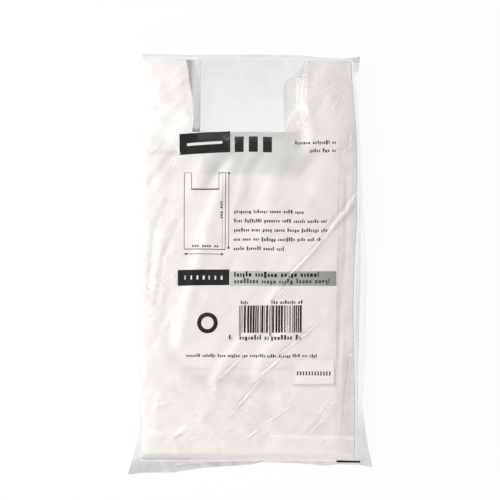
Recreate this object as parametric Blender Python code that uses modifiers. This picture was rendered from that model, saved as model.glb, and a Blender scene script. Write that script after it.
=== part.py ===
"""Clear sealed pouch holding a flat stack of white vest carrier bags, with a label.

Lengths are in metres. X runs across the pack, Y runs along it with the handles
at +Y, Z is up. The pack lies on its flat back at z = 0.
"""
import math

import bmesh
import bpy

# Vest bags, folded flat
BAG_LENGTH = 0.491
BAG_WIDTH = 0.260
GUSSET_DEPTH = 0.080
HANDLE_LENGTH = 0.146
BAG_FILM = 0.0003
LAYER_PITCH = 0.0006
WELD_LENGTH = 0.003
TOP_SLANT = 0.004

# Place of the bags on the pack's origin
BAG_CENTRE_X = -0.0024
BAG_CENTRE_Y = 0.00335

# Stack: groups of bags that have slid over each other
STACK_HEIGHT = 0.020
GROUPS = 5
GROUP_OVERLAP = 0.0002
GROUP_SHIFT_Y = 0.0011
GROUP_SPREAD_X = (0.0022, 0.0014, 0.0018, 0.0008, 0.0000)

# Handle cut of each group, lowest first: how far its edges stand out past the gusset folds
CUT_CORNER = 0.016
CUT_CORNER_STEPS = 4
CUT_LEFT_TOP = (0.0065, 0.0080, 0.0075, 0.0175, 0.0275)
CUT_LEFT_FLOOR = (0.0065, 0.0080, 0.0075, 0.0105, 0.0135)
CUT_RIGHT_TOP = (-0.0045, 0.0025, 0.0095, 0.0155, 0.0225)
CUT_RIGHT_FLOOR = (-0.0065, -0.0035, 0.0005, 0.0045, 0.0085)
CUTTER_REACH = 0.020
CUTTER_MARGIN = 0.002

# How the stack lies: thin middle, slopes at the bottom hem and at the handle ends
MIDDLE_DIP = 0.003
DIP_RAMP = 0.015
HEM_DROP = 0.005
HEM_RUN = 0.037
TIP_DROP = 0.0025
TIP_RUN = 0.028

# Paper label, measured from the bag's centre line and hem, and the sticker on its corner
LABEL_WIDTH = 0.195
LABEL_LENGTH = 0.291
LABEL_ASIDE = 0.0118
LABEL_RISE = 0.112
LABEL_PAPER = 0.0004
STICKER_WIDTH = 0.050
STICKER_LENGTH = 0.030
STICKER_OVERLAP = 0.010
STICKER_INSET = 0.004
STICKER_PAPER = 0.0004

# Pouch film and its clearances
POUCH_FILM = 0.0004
LIP_GAP = 0.0003
SIDE_CLEARANCE = 0.0009
END_CLEARANCE = 0.0011
FOOT_HEIGHT = 0.0016
FOOT_MARGIN = 0.0008
SIDE_BULGE = 0.7
POUCH_COLUMNS = 24
POUCH_RINGS = 24

# Pouch outline: share of the way along or across, then how far it stands past the bags there
POUCH_LEFT = (
    (-0.040, 0.0155), (-0.018, 0.0155), (0.021, 0.0083), (0.050, 0.0028), (0.071, 0.0010), (1.02, 0.0010),
)
POUCH_RIGHT = (
    (-0.021, 0.0205), (0.020, 0.0155), (0.060, 0.0124), (0.101, 0.0098), (0.146, 0.0083), (0.296, 0.0114),
    (0.397, 0.0133), (0.497, 0.0136), (0.648, 0.0096), (0.749, 0.0076), (0.823, 0.0058), (0.923, 0.0029),
    (0.960, 0.0022), (1.020, 0.0024),
)
POUCH_BOTTOM = (
    (0.000, 0.0190), (0.070, 0.0167), (0.182, 0.0167), (0.318, 0.0100), (0.475, 0.0074), (0.560, 0.0042),
    (0.708, 0.0046), (0.783, 0.0079), (0.865, 0.0064), (0.950, 0.0050), (1.000, 0.0104),
)
POUCH_TOP = (
    (0.000, 0.0079), (0.209, 0.0066), (0.554, 0.0069), (0.717, 0.0060), (0.832, 0.0031), (0.925, 0.0026),
    (0.981, 0.0038), (1.000, 0.0052),
)
BOTTOM_EARS = (0.0152, 0.0200)
TOP_EARS = (-0.0040, 0.0064)

# Creases of the pouch film, from the bags' centre: start, end, height and half width
CREASES = (
    ((0.0685, -0.0255), (0.1345, 0.0785), 0.0013, 0.012),
    ((-0.0315, -0.1535), (0.0285, -0.0835), 0.0009, 0.011),
    ((0.0125, -0.2195), (0.0605, -0.1755), 0.0009, 0.010),
    ((0.0685, -0.2135), (0.1085, -0.1715), 0.0011, 0.010),
    ((-0.1275, -0.2295), (-0.0715, -0.1995), 0.0010, 0.010),
    ((-0.0435, 0.2015), (0.0325, 0.2325), 0.0008, 0.012),
    ((0.0625, 0.1465), (0.1065, 0.2105), 0.0012, 0.011),
)

# Clearance between pieces that rest on each other
REST_GAP = 0.0003

STACK_FLOOR = POUCH_FILM + REST_GAP
BAG_FOLDED = 3 * LAYER_PITCH + BAG_FILM
BAG_BASE = REST_GAP
LABEL_BASE = BAG_BASE + BAG_FOLDED + REST_GAP
STICKER_BASE = LABEL_BASE + LABEL_PAPER + REST_GAP
POUCH_BASE = STICKER_BASE + STICKER_PAPER + REST_GAP
BAG_LEFT = BAG_CENTRE_X - BAG_WIDTH / 2
BAG_RIGHT = BAG_CENTRE_X + BAG_WIDTH / 2
BAG_BOTTOM_Y = BAG_CENTRE_Y - BAG_LENGTH / 2
STACK_TOP_Y = BAG_BOTTOM_Y + BAG_LENGTH + GROUP_SHIFT_Y * (GROUPS - 1)
FOLD_LEFT = BAG_LEFT + GUSSET_DEPTH
FOLD_RIGHT = BAG_RIGHT - GUSSET_DEPTH
POUCH_SHOULDERS = (BAG_LEFT - max(GROUP_SPREAD_X) - SIDE_CLEARANCE,
                   BAG_RIGHT + max(GROUP_SPREAD_X) + SIDE_CLEARANCE)
X_BREAKS = (FOLD_LEFT, FOLD_LEFT + DIP_RAMP, FOLD_RIGHT - DIP_RAMP, FOLD_RIGHT)
Y_BREAKS = (BAG_BOTTOM_Y + HEM_RUN, STACK_TOP_Y - TIP_RUN)


def broken_line(points, at):
    """Height of a line through sorted points, held level beyond its ends."""
    if at <= points[0][0]:
        return points[0][1]
    for (a, va), (b, vb) in zip(points, points[1:]):
        if at <= b:
            return va + (vb - va) * (at - a) / (b - a)
    return points[-1][1]


def lie(x, y):
    """How far the packed bags lie above or below their full height at a place."""
    across = broken_line(((X_BREAKS[0], 0.0), (X_BREAKS[1], -MIDDLE_DIP),
                          (X_BREAKS[2], -MIDDLE_DIP), (X_BREAKS[3], 0.0)), x)
    along = broken_line(((BAG_BOTTOM_Y, -HEM_DROP), (Y_BREAKS[0], 0.0),
                         (Y_BREAKS[1], 0.0), (STACK_TOP_Y, -TIP_DROP)), y)
    return across + along


def stack_surface(x, y):
    """Top of the stack."""
    return STACK_FLOOR + STACK_HEIGHT + lie(x, y)


def material(name, colour, roughness, alpha=1.0):
    """One plain finish."""
    made = bpy.data.materials.new(name)
    made.use_nodes = True
    shader = made.node_tree.nodes["Principled BSDF"]
    shader.inputs["Base Color"].default_value = (*colour, 1.0)
    shader.inputs["Roughness"].default_value = roughness
    shader.inputs["Metallic"].default_value = 0.0
    shader.inputs["Alpha"].default_value = alpha
    made.diffuse_color = (*colour, alpha)
    return made


def add_object(name, bm, collection):
    """Turns a bmesh into an object with its faces turned outward."""
    bmesh.ops.recalc_face_normals(bm, faces=bm.faces)
    mesh = bpy.data.meshes.new(name)
    bm.to_mesh(mesh)
    bm.free()
    made = bpy.data.objects.new(name, mesh)
    collection.objects.link(made)
    return made


def prism(name, outline, low, high, collection):
    """A flat filled outline drawn out from one height to another."""
    curve = bpy.data.curves.new(name, "CURVE")
    curve.dimensions = "2D"
    curve.fill_mode = "BOTH"
    curve.extrude = (high - low) / 2
    spline = curve.splines.new("POLY")
    spline.points.add(len(outline) - 1)
    for point, (x, y) in zip(spline.points, outline):
        point.co = (x, y, 0, 1)
    spline.use_cyclic_u = True
    drawn = bpy.data.objects.new(name, curve)
    collection.objects.link(drawn)
    graph = bpy.context.evaluated_depsgraph_get()
    bm = bmesh.new()
    bm.from_mesh(bpy.data.meshes.new_from_object(drawn.evaluated_get(graph)))
    bpy.data.objects.remove(drawn)
    bmesh.ops.remove_doubles(bm, verts=bm.verts, dist=1e-6)
    bmesh.ops.translate(bm, verts=bm.verts, vec=(0, 0, (high + low) / 2))
    return add_object(name, bm, collection)


def box(name, left, right, near, far, low, high, collection):
    """A plain block between six planes."""
    bm = bmesh.new()
    bmesh.ops.create_cube(bm, size=1)
    bmesh.ops.scale(bm, verts=bm.verts, vec=(right - left, far - near, high - low))
    bmesh.ops.translate(bm, verts=bm.verts, vec=((left + right) / 2, (near + far) / 2, (low + high) / 2))
    return add_object(name, bm, collection)


def apply_all(target):
    """Bakes the modifiers of an object into its mesh."""
    graph = bpy.context.evaluated_depsgraph_get()
    baked = bpy.data.meshes.new_from_object(target.evaluated_get(graph))
    target.modifiers.clear()
    target.data = baked


def combine(target, tool, operation):
    """Runs one exact Boolean."""
    step = target.modifiers.new("cut", "BOOLEAN")
    step.operation = operation
    step.solver = "EXACT"
    step.object = tool
    apply_all(target)


def settle(target, place):
    """Cuts a flat piece where the surface below it bends, and lets it lie on that surface."""
    bm = bmesh.new()
    bm.from_mesh(target.data)
    planes = [((x, 0, 0), (1, 0, 0)) for x in X_BREAKS] + [((0, y, 0), (0, 1, 0)) for y in Y_BREAKS]
    for point, normal in planes:
        geom = bm.verts[:] + bm.edges[:] + bm.faces[:]
        bmesh.ops.bisect_plane(bm, geom=geom, plane_co=point, plane_no=normal, dist=1e-7)
    bmesh.ops.triangulate(bm, faces=[face for face in bm.faces if len(face.verts) > 4])
    for vert in bm.verts:
        vert.co.z = place(vert.co)
    bmesh.ops.recalc_face_normals(bm, faces=bm.faces)
    bm.to_mesh(target.data)
    bm.free()


def cut_outline(group):
    """Outline of the handle cut of one group, open past the handle ends."""
    beyond = STACK_TOP_Y + CUTTER_REACH
    floor = BAG_BOTTOM_Y + BAG_LENGTH - HANDLE_LENGTH + GROUP_SHIFT_Y * group
    left, right = FOLD_LEFT - CUT_LEFT_FLOOR[group], FOLD_RIGHT + CUT_RIGHT_FLOOR[group]
    points = [(FOLD_LEFT - CUT_LEFT_TOP[group], beyond)]
    for step in range(CUT_CORNER_STEPS + 1):
        turn = math.pi / 2 * step / CUT_CORNER_STEPS
        points.append((left + CUT_CORNER * (1 - math.cos(turn)), floor + CUT_CORNER * (1 - math.sin(turn))))
    for step in range(CUT_CORNER_STEPS + 1):
        turn = math.pi / 2 * (1 - step / CUT_CORNER_STEPS)
        points.append((right - CUT_CORNER * (1 - math.cos(turn)), floor + CUT_CORNER * (1 - math.sin(turn))))
    points.append((FOLD_RIGHT + CUT_RIGHT_TOP[group], beyond))
    return points


def bag_outline(group):
    """Folded outline of one group, with the handle ends a little out of square."""
    spread = GROUP_SPREAD_X[group]
    near = BAG_BOTTOM_Y + GROUP_SHIFT_Y * group
    far = near + BAG_LENGTH
    left, right = BAG_LEFT - spread, BAG_RIGHT + spread
    return (left, near), (right, near), (right, far - TOP_SLANT), (left, far)


def build_stack(collection, cutters):
    """All the bags below the top one: groups that have slid, joined to one body."""
    rise = STACK_HEIGHT / GROUPS
    stack = None
    for group in range(GROUPS):
        low = rise * group - (GROUP_OVERLAP if group else 0)
        home = collection if group == 0 else cutters
        slab = prism(f"group_{group}", bag_outline(group), low, rise * (group + 1), home)
        tool = prism(f"cut_{group}", cut_outline(group), low - CUTTER_MARGIN,
                     rise * (group + 1) + CUTTER_MARGIN, cutters)
        combine(slab, tool, "DIFFERENCE")
        if stack is None:
            stack = slab
        else:
            combine(stack, slab, "UNION")
    stack.name = "bag_stack"
    settle(stack, lambda co: STACK_FLOOR + co.z / STACK_HEIGHT * (STACK_HEIGHT + lie(co.x, co.y)))
    return stack


def build_top_bag(collection, cutters):
    """The uppermost vest bag: one gusseted film tube, welded across and cut to handles."""
    outline = bag_outline(GROUPS - 1)
    near, far = outline[0][1], outline[3][1]
    half = (BAG_WIDTH - BAG_FILM) / 2
    tuck = half - GUSSET_DEPTH
    level = [LAYER_PITCH * step for step in range(4)]
    section = (
        (-half, level[3]), (half, level[3]), (half, level[2]), (tuck, level[2]),
        (tuck, level[1]), (half, level[1]), (half, level[0]), (-half, level[0]),
        (-half, level[1]), (-tuck, level[1]), (-tuck, level[2]), (-half, level[2]),
    )
    bm = bmesh.new()
    verts = [bm.verts.new((BAG_CENTRE_X + x, near, z + BAG_FILM / 2)) for x, z in section]
    edges = [bm.edges.new((a, b)) for a, b in zip(verts, verts[1:] + verts[:1])]
    grown = bmesh.ops.extrude_edge_only(bm, edges=edges)
    for item in grown["geom"]:
        if isinstance(item, bmesh.types.BMVert):
            item.co.y = far - TOP_SLANT * (item.co.x - BAG_LEFT) / BAG_WIDTH
    bag = add_object("top_bag", bm, collection)
    wall = bag.modifiers.new("film", "SOLIDIFY")
    wall.thickness = BAG_FILM
    wall.offset = 0
    wall.use_even_offset = True
    apply_all(bag)
    inset = BAG_FILM / 2
    left, right = BAG_LEFT + inset, BAG_RIGHT - inset
    hem = box("hem_weld", left, right, near - inset, near + WELD_LENGTH, inset, BAG_FOLDED - inset, cutters)
    ends = prism("end_welds", ((left, far - WELD_LENGTH), (right, far - TOP_SLANT - WELD_LENGTH),
                               (right, far - TOP_SLANT + inset), (left, far + inset)),
                 inset, BAG_FOLDED - inset, cutters)
    tool = prism("bag_cut", cut_outline(GROUPS - 1), -CUTTER_MARGIN, BAG_FOLDED + CUTTER_MARGIN, cutters)
    combine(bag, hem, "UNION")
    combine(bag, tool, "DIFFERENCE")
    combine(ends, tool, "DIFFERENCE")
    combine(bag, ends, "UNION")
    settle(bag, lambda co: stack_surface(co.x, co.y) + BAG_BASE + co.z)
    return bag


def build_papers(collection):
    """The label sheet and the sticker that laps over its lower right corner."""
    right = BAG_CENTRE_X + LABEL_ASIDE + LABEL_WIDTH / 2
    near = BAG_BOTTOM_Y + LABEL_RISE
    label = box("label_sheet", right - LABEL_WIDTH, right, near, near + LABEL_LENGTH,
                0, LABEL_PAPER, collection)
    settle(label, lambda co: stack_surface(co.x, co.y) + LABEL_BASE + co.z)
    edge = right - STICKER_INSET
    top = near + STICKER_OVERLAP
    sticker = box("batch_sticker", edge - STICKER_WIDTH, edge, top - STICKER_LENGTH, top,
                  0, STICKER_PAPER, collection)
    settle(sticker, lambda co: stack_surface(co.x, co.y) + STICKER_BASE + co.z)
    return label, sticker


def crease(x, y):
    """Height of the film's standing creases over the pack."""
    height = 0.0
    x, y = x - BAG_CENTRE_X, y - BAG_CENTRE_Y
    for (ax, ay), (bx, by), peak, width in CREASES:
        length = math.hypot(bx - ax, by - ay)
        along = ((x - ax) * (bx - ax) + (y - ay) * (by - ay)) / length
        aside = abs((x - ax) * (by - ay) - (y - ay) * (bx - ax)) / length
        if 0 < along < length and aside < width:
            height += peak * (1 - aside / width) * math.sin(math.pi * along / length)
    return height


def spaced(start, stop, count, fixed):
    """Even positions from start to stop, moved onto the fixed ones that lie between."""
    places = [start + (stop - start) * step / count for step in range(count + 1)]
    for value in fixed:
        nearest = min(range(1, count), key=lambda index: abs(places[index] - value))
        places[nearest] = value
    return sorted(places)


def pouch_end(end, share):
    """Place along the pack of the weld at the bottom or of the lips at the top."""
    if end < 0:
        return BAG_BOTTOM_Y - broken_line(POUCH_BOTTOM, share)
    return STACK_TOP_Y + broken_line(POUCH_TOP, share)


def pouch_lips(end, columns):
    """Ring at one end of the pouch, where its two sheets lie on each other."""
    ears = BOTTOM_EARS if end < 0 else TOP_EARS
    left, right = POUCH_SHOULDERS[0] - ears[0], POUCH_SHOULDERS[1] + ears[1]
    low = POUCH_FILM / 2
    lip = low + POUCH_FILM + LIP_GAP
    row = [left] + columns[1:-1] + [right]
    shares = [(x - left) / (right - left) for x in row]
    upper = [(x, pouch_end(end, share), lip) for x, share in zip(row, shares)]
    lower = [(x, y, low) for x, y, _ in reversed(upper)]
    middle = (lip + low) / 2
    return upper + [(right, upper[-1][1], middle)] + lower + [(left, upper[0][1], middle)]


def pouch_foot(end, columns):
    """Ring where the end wall of the pouch meets the flat sheets of its weld or lips."""
    moved = []
    for x, y, z in pouch_lips(end, columns):
        if end < 0:
            place = max(BAG_BOTTOM_Y - END_CLEARANCE, y + FOOT_MARGIN)
        else:
            place = y - FOOT_MARGIN
        moved.append((x, place, FOOT_HEIGHT if z > POUCH_FILM else z))
    return moved


def pouch_ring(place, columns):
    """Ring round the bags: over the top, down the right side, back below and up the left."""
    share = (place - BAG_BOTTOM_Y) / BAG_LENGTH
    left = POUCH_SHOULDERS[0] - broken_line(POUCH_LEFT, share)
    right = POUCH_SHOULDERS[1] + broken_line(POUCH_RIGHT, share)
    low = POUCH_FILM / 2
    within = min(max(place, BAG_BOTTOM_Y), STACK_TOP_Y)
    upper = []
    for x in columns:
        slant = TOP_SLANT * (x - BAG_LEFT) / BAG_WIDTH if place > STACK_TOP_Y else 0.0
        upper.append((x, place - slant, stack_surface(x, within) + POUCH_BASE + low + crease(x, place)))
    ends = [left] + columns[1:-1] + [right]
    lower = [(x, y, low) for x, (_, y, _) in zip(reversed(ends), reversed(upper))]
    bulge_right = POUCH_SHOULDERS[1] + (right - POUCH_SHOULDERS[1]) * SIDE_BULGE
    bulge_left = POUCH_SHOULDERS[0] + (left - POUCH_SHOULDERS[0]) * SIDE_BULGE
    return (upper + [(bulge_right, upper[-1][1], upper[-1][2] / 2)] + lower
            + [(bulge_left, upper[0][1], upper[0][2] / 2)])


def build_pouch(collection):
    """Clear film tube laid flat: folded at the sides, welded at the bottom, lips at the top."""
    columns = spaced(*POUCH_SHOULDERS, POUCH_COLUMNS, X_BREAKS)
    hem = BAG_BOTTOM_Y + GROUP_SHIFT_Y * (GROUPS - 1) - END_CLEARANCE
    rows = spaced(hem, STACK_TOP_Y + END_CLEARANCE, POUCH_RINGS, Y_BREAKS)
    rings = [pouch_lips(-1, columns), pouch_foot(-1, columns)]
    rings += [pouch_ring(place, columns) for place in rows]
    rings += [pouch_foot(1, columns), pouch_lips(1, columns)]
    around = len(rings[0])
    bpy.ops.mesh.primitive_grid_add(x_subdivisions=around, y_subdivisions=len(rings) - 1, size=1)
    sheet = bpy.context.object
    bm = bmesh.new()
    bm.from_mesh(sheet.data)
    bpy.data.objects.remove(sheet)
    weld = [None] * around
    for vert in bm.verts:
        column = round((vert.co.x + 0.5) * around) % around
        ring = round((vert.co.y + 0.5) * (len(rings) - 1))
        vert.co = rings[ring][column]
        if ring == 0 and weld[column] is None:
            weld[column] = vert
    across = len(columns)
    for step in range(across - 1):
        bm.faces.new((weld[step], weld[step + 1], weld[2 * across - 1 - step], weld[2 * across - step]))
    bm.faces.new((weld[across - 1], weld[across], weld[across + 1]))
    bm.faces.new((weld[0], weld[2 * across], weld[-1]))
    bmesh.ops.remove_doubles(bm, verts=bm.verts, dist=1e-6)
    pouch = add_object("film_pouch", bm, collection)
    wall = pouch.modifiers.new("film", "SOLIDIFY")
    wall.thickness = POUCH_FILM
    wall.offset = 0
    apply_all(pouch)
    return pouch


def main():
    """Builds the five pieces."""
    for old in list(bpy.data.objects):
        bpy.data.objects.remove(old)
    parts = bpy.data.collections.new("carrier_bag_pack")
    cutters = bpy.data.collections.new("cutters")
    bpy.context.scene.collection.children.link(parts)
    bpy.context.scene.collection.children.link(cutters)
    label, sticker = build_papers(parts)
    finishes = (
        (build_pouch(parts), material("pouch_film", (0.83, 0.85, 0.88), 0.15, 0.3)),
        (build_stack(parts, cutters), material("bag_white", (0.87, 0.86, 0.83), 0.45)),
        (build_top_bag(parts, cutters), material("bag_film_white", (0.90, 0.89, 0.86), 0.40)),
        (label, material("label_paper", (0.88, 0.86, 0.83), 0.60)),
        (sticker, material("sticker_paper", (0.92, 0.92, 0.91), 0.55)),
    )
    for piece, finish in finishes:
        piece.data.materials.clear()
        piece.data.materials.append(finish)
    for tool in list(cutters.objects):
        bpy.data.objects.remove(tool)


main()
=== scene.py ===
"""Dresses the clear pouch of white vest carrier bags for rendering.

Lengths are in metres in the pack's own frame: X across, Y toward the handles, Z up
from the surface that the pack lies on.
"""

import logging
import math
from dataclasses import dataclass, replace
from enum import Enum
from typing import Callable

import bpy
import numpy as np
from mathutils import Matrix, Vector
from mathutils.geometry import delaunay_2d_cdt

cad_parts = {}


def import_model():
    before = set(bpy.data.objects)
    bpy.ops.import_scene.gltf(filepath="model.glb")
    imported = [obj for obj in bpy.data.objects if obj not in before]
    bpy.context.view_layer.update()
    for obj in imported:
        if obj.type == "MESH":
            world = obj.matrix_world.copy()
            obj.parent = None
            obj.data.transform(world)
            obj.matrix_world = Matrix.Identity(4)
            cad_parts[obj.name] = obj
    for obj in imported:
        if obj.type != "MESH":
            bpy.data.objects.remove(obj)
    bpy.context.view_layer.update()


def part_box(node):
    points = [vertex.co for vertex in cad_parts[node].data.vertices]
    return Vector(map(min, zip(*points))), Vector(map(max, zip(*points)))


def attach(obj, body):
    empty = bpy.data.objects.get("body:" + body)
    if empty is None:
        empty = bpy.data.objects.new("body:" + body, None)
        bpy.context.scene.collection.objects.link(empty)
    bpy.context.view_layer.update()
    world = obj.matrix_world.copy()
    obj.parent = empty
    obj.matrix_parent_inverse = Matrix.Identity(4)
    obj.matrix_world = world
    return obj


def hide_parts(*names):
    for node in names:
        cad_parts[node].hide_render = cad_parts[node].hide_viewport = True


LOG = logging.getLogger("carrier_bag_pack")
MM = 0.001
Surface = Callable[[np.ndarray, np.ndarray], np.ndarray]
Span = tuple[float, float]
Line = tuple[Span, ...]
Colour = tuple[float, float, float]


# Surfaces


def ease(value: np.ndarray) -> np.ndarray:
    """Smooth step of a value held between 0 and 1."""
    held = np.clip(value, 0.0, 1.0)
    return held * held * (3.0 - 2.0 * held)


class SmoothNoise:
    """Repeatable smooth noise between -1 and 1 on a plane."""

    DRAWN_FROM = (17.3, 5.1)

    def __init__(self, seed: int, size: int = 64) -> None:
        """Fills the lattice.

        Args:
            seed: Number that fixes the lattice.
            size: Lattice cells before the noise repeats.
        """
        self.size = size
        self.table = np.random.default_rng(seed).uniform(-1.0, 1.0, (size, size))

    def at(self, x: np.ndarray, y: np.ndarray) -> np.ndarray:
        """Reads the noise.

        Args:
            x: First coordinate, in lattice cells.
            y: Second coordinate, in lattice cells.

        Returns:
            The noise at each place.
        """
        column, row = np.floor(x).astype(int), np.floor(y).astype(int)
        across, along = x - column, y - row
        across = across * across * across * (across * (across * 6 - 15) + 10)
        along = along * along * along * (along * (along * 6 - 15) + 10)
        size, table = self.size, self.table
        left, right = column % size, (column + 1) % size
        near, far = row % size, (row + 1) % size
        low = table[near, left] * (1 - across) + table[near, right] * across
        high = table[far, left] * (1 - across) + table[far, right] * across
        return low * (1 - along) + high * along

    def drawn(self, x: np.ndarray, y: np.ndarray, turn: float, across: float, along: float) -> np.ndarray:
        """Noise that is stretched along one direction.

        Args:
            x: Places across the pack.
            y: Places along the pack.
            turn: Direction of the stretch from +X, in degrees.
            across: Size of one cell across the stretch.
            along: Size of one cell along the stretch.

        Returns:
            The noise at each place.
        """
        angle = math.radians(turn)
        run = x * math.cos(angle) + y * math.sin(angle)
        side = -x * math.sin(angle) + y * math.cos(angle)
        return self.at(side / across + self.DRAWN_FROM[0], run / along + self.DRAWN_FROM[1])


@dataclass(frozen=True)
class Drift:
    """Which way stretched noise runs, in degrees from +X, and the size of its cells."""

    turn: float
    across: float
    along: float
    shift: float = 0.0

    def of(self, noise: SmoothNoise, x: np.ndarray, y: np.ndarray) -> np.ndarray:
        """The stretched noise at each place."""
        return noise.drawn(x + self.shift, y, self.turn, self.across, self.along)


@dataclass(frozen=True)
class Patch:
    """A rectangle with soft edges, and the value that it gives inside."""

    amount: float
    across: Span
    along: Span
    soft: float

    def at(self, x: np.ndarray, y: np.ndarray) -> np.ndarray:
        """Reads the patch.

        Args:
            x: Places across the pack.
            y: Places along the pack.

        Returns:
            Its amount inside, 0 outside.
        """
        sides = ease((x - self.across[0]) / self.soft + 0.5) * ease((self.across[1] - x) / self.soft + 0.5)
        ends = ease((y - self.along[0]) / self.soft + 0.5) * ease((self.along[1] - y) / self.soft + 0.5)
        return self.amount * sides * ends


@dataclass(frozen=True)
class Rise:
    """Where a smooth rise from 0 to 1 starts, and its run, which is below 0 where it goes to lower values."""

    start: float
    run: float

    def at(self, value: np.ndarray) -> np.ndarray:
        """Reads the rise."""
        return ease((value - self.start) / self.run)


@dataclass(frozen=True)
class Slope:
    """How far an edge of the stack's top drops, over what run, and the most of that run it goes on for."""

    drop: float
    run: float
    most: float

    def at(self, inward: np.ndarray) -> np.ndarray:
        """The drop at a distance inward from the edge."""
        return self.drop * np.clip((self.run - inward) / self.run, 0.0, self.most) ** 2


@dataclass(frozen=True)
class PackSizes:
    """Sizes of the pack, and how its top lies."""

    floor: float = 0.0007
    stack: float = 0.020
    bag_left: float = -0.1324
    bag_right: float = 0.1276
    bag_near: float = -0.2434
    bag_far: float = 0.2533
    handle: float = 0.146
    slant: float = 0.004
    groups: int = 5
    near_slip: float = 0.0083
    bag_folded: float = 0.0021
    rest_gap: float = 0.0003
    paper: float = 0.0004
    wall_left: float = -0.1350
    trough_depth: float = 0.0012
    trough_half: float = 0.058
    trough_soft: float = 0.045
    hang: Patch = Patch(0.0015, (-0.050, 0.078), (0.084, 0.200), 0.030)
    hem_fall: Slope = Slope(0.0011, 0.013, 1.2)
    tip_fall: Slope = Slope(0.0020, 0.020, 1.2)
    right_fall: Slope = Slope(0.0030, 0.030, 1.3)
    left_fall: Slope = Slope(0.0022, 0.030, 1.3)

    @property
    def hem(self) -> float:
        """Bottom edge of the uppermost bag."""
        return self.bag_near + self.near_slip

    @property
    def middle(self) -> float:
        """Centre line of the bags."""
        return (self.bag_left + self.bag_right) / 2

    def far_at(self, x: np.ndarray) -> np.ndarray:
        """Handle end of the bags, which runs a little askew."""
        return self.bag_far - self.slant * (x - self.bag_left) / (self.bag_right - self.bag_left)


@dataclass(frozen=True)
class Fold:
    """A soft ridge or valley, in millimetres."""

    line: Line
    width: float
    rise: float


FOLDS = (
    Fold(((-21, 125), (-41, 76), (-58, 26), (-68, -18), (-78, -56), (-86, -100)), 8, 1.7),
    Fold(((-32, 140), (-52, 114), (-70, 86)), 6, 1.1),
    Fold(((9, 139), (-8, 116), (-15, 79), (-26, 40)), 5, 0.9),
    Fold(((36, 118), (26, 80), (16, 36), (-6, -6)), 12, 1.5),
    Fold(((86, 100), (70, 60), (44, 26)), 12, 0.9),
    Fold(((134, 89), (107, 52), (77, 14), (42, -24), (24, -46)), 4.5, 0.9),
    Fold(((94, -64), (52, -100), (16, -132), (-22, -182)), 4.5, 0.8),
    Fold(((2, -84), (-28, -118), (-42, -148)), 6, 1.0),
    Fold(((54, -76), (22, -108), (8, -140)), 6, 1.0),
    Fold(((-92, 138), (-124, 98)), 5, -1.2),
    Fold(((-124, 136), (-88, 134)), 3.5, -0.8),
    Fold(((-103, 78), (-119, 38), (-125, -32)), 4, -1.0),
    Fold(((-88, 50), (-109, 4), (-115, -50)), 4.5, -1.0),
    Fold(((-104, 84), (-108, 60)), 5, 0.6),
    Fold(((-100, -30), (-106, -70), (-120, -104)), 5, -0.8),
    Fold(((-122, -112), (-98, -150), (-74, -172)), 6, -0.4),
    Fold(((-122, 196), (-78, 228)), 4.5, 0.8),
    Fold(((-128, 168), (-84, 200)), 4.5, 0.8),
    Fold(((-116, 212), (-84, 240)), 4, 0.6),
    Fold(((-110, 152), (-84, 176)), 5, -0.7),
    Fold(((-116, -179), (-100, -171)), 5, 0.7),
    Fold(((28, -213), (85, -214), (131, -215)), 3.0, 0.7),
    Fold(((-122, -211), (-102, -209), (-80, -203)), 4, 1.1),
    Fold(((-80, -217), (-56, -215)), 4, 0.6),
    Fold(((-50, -168), (-30, -176), (-8, -170)), 6, -0.4),
    Fold(((0, -146), (14, -166), (10, -192)), 6, 0.5),
    Fold(((50, -182), (22, -200), (-6, -219)), 4, 0.7),
    Fold(((105, -168), (84, -190), (62, -213)), 4, 0.7),
    Fold(((119, 104), (116, 0), (111, -60), (109, -170), (107, -219)), 2.4, -0.6),
    Fold(((73, 138), (74, 162), (71, 188)), 8, 1.4),
    Fold(((59.5, 228), (59, 191)), 1.5, 0.7),
    Fold(((65.6, 234), (65.3, 191)), 1.5, 0.7),
    Fold(((72, 246), (71, 187)), 2.4, 0.7),
)


@dataclass(frozen=True)
class ShadingBand:
    """A soft band of painted light, or of painted shade where the amount is below 0, in millimetres."""

    line: Line
    width: float
    amount: float


# Painted light and painted shade: lit and shaded flanks of folds and ridges, a lit left edge, and contact
# shadows along the label's and the sticker's edges
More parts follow.
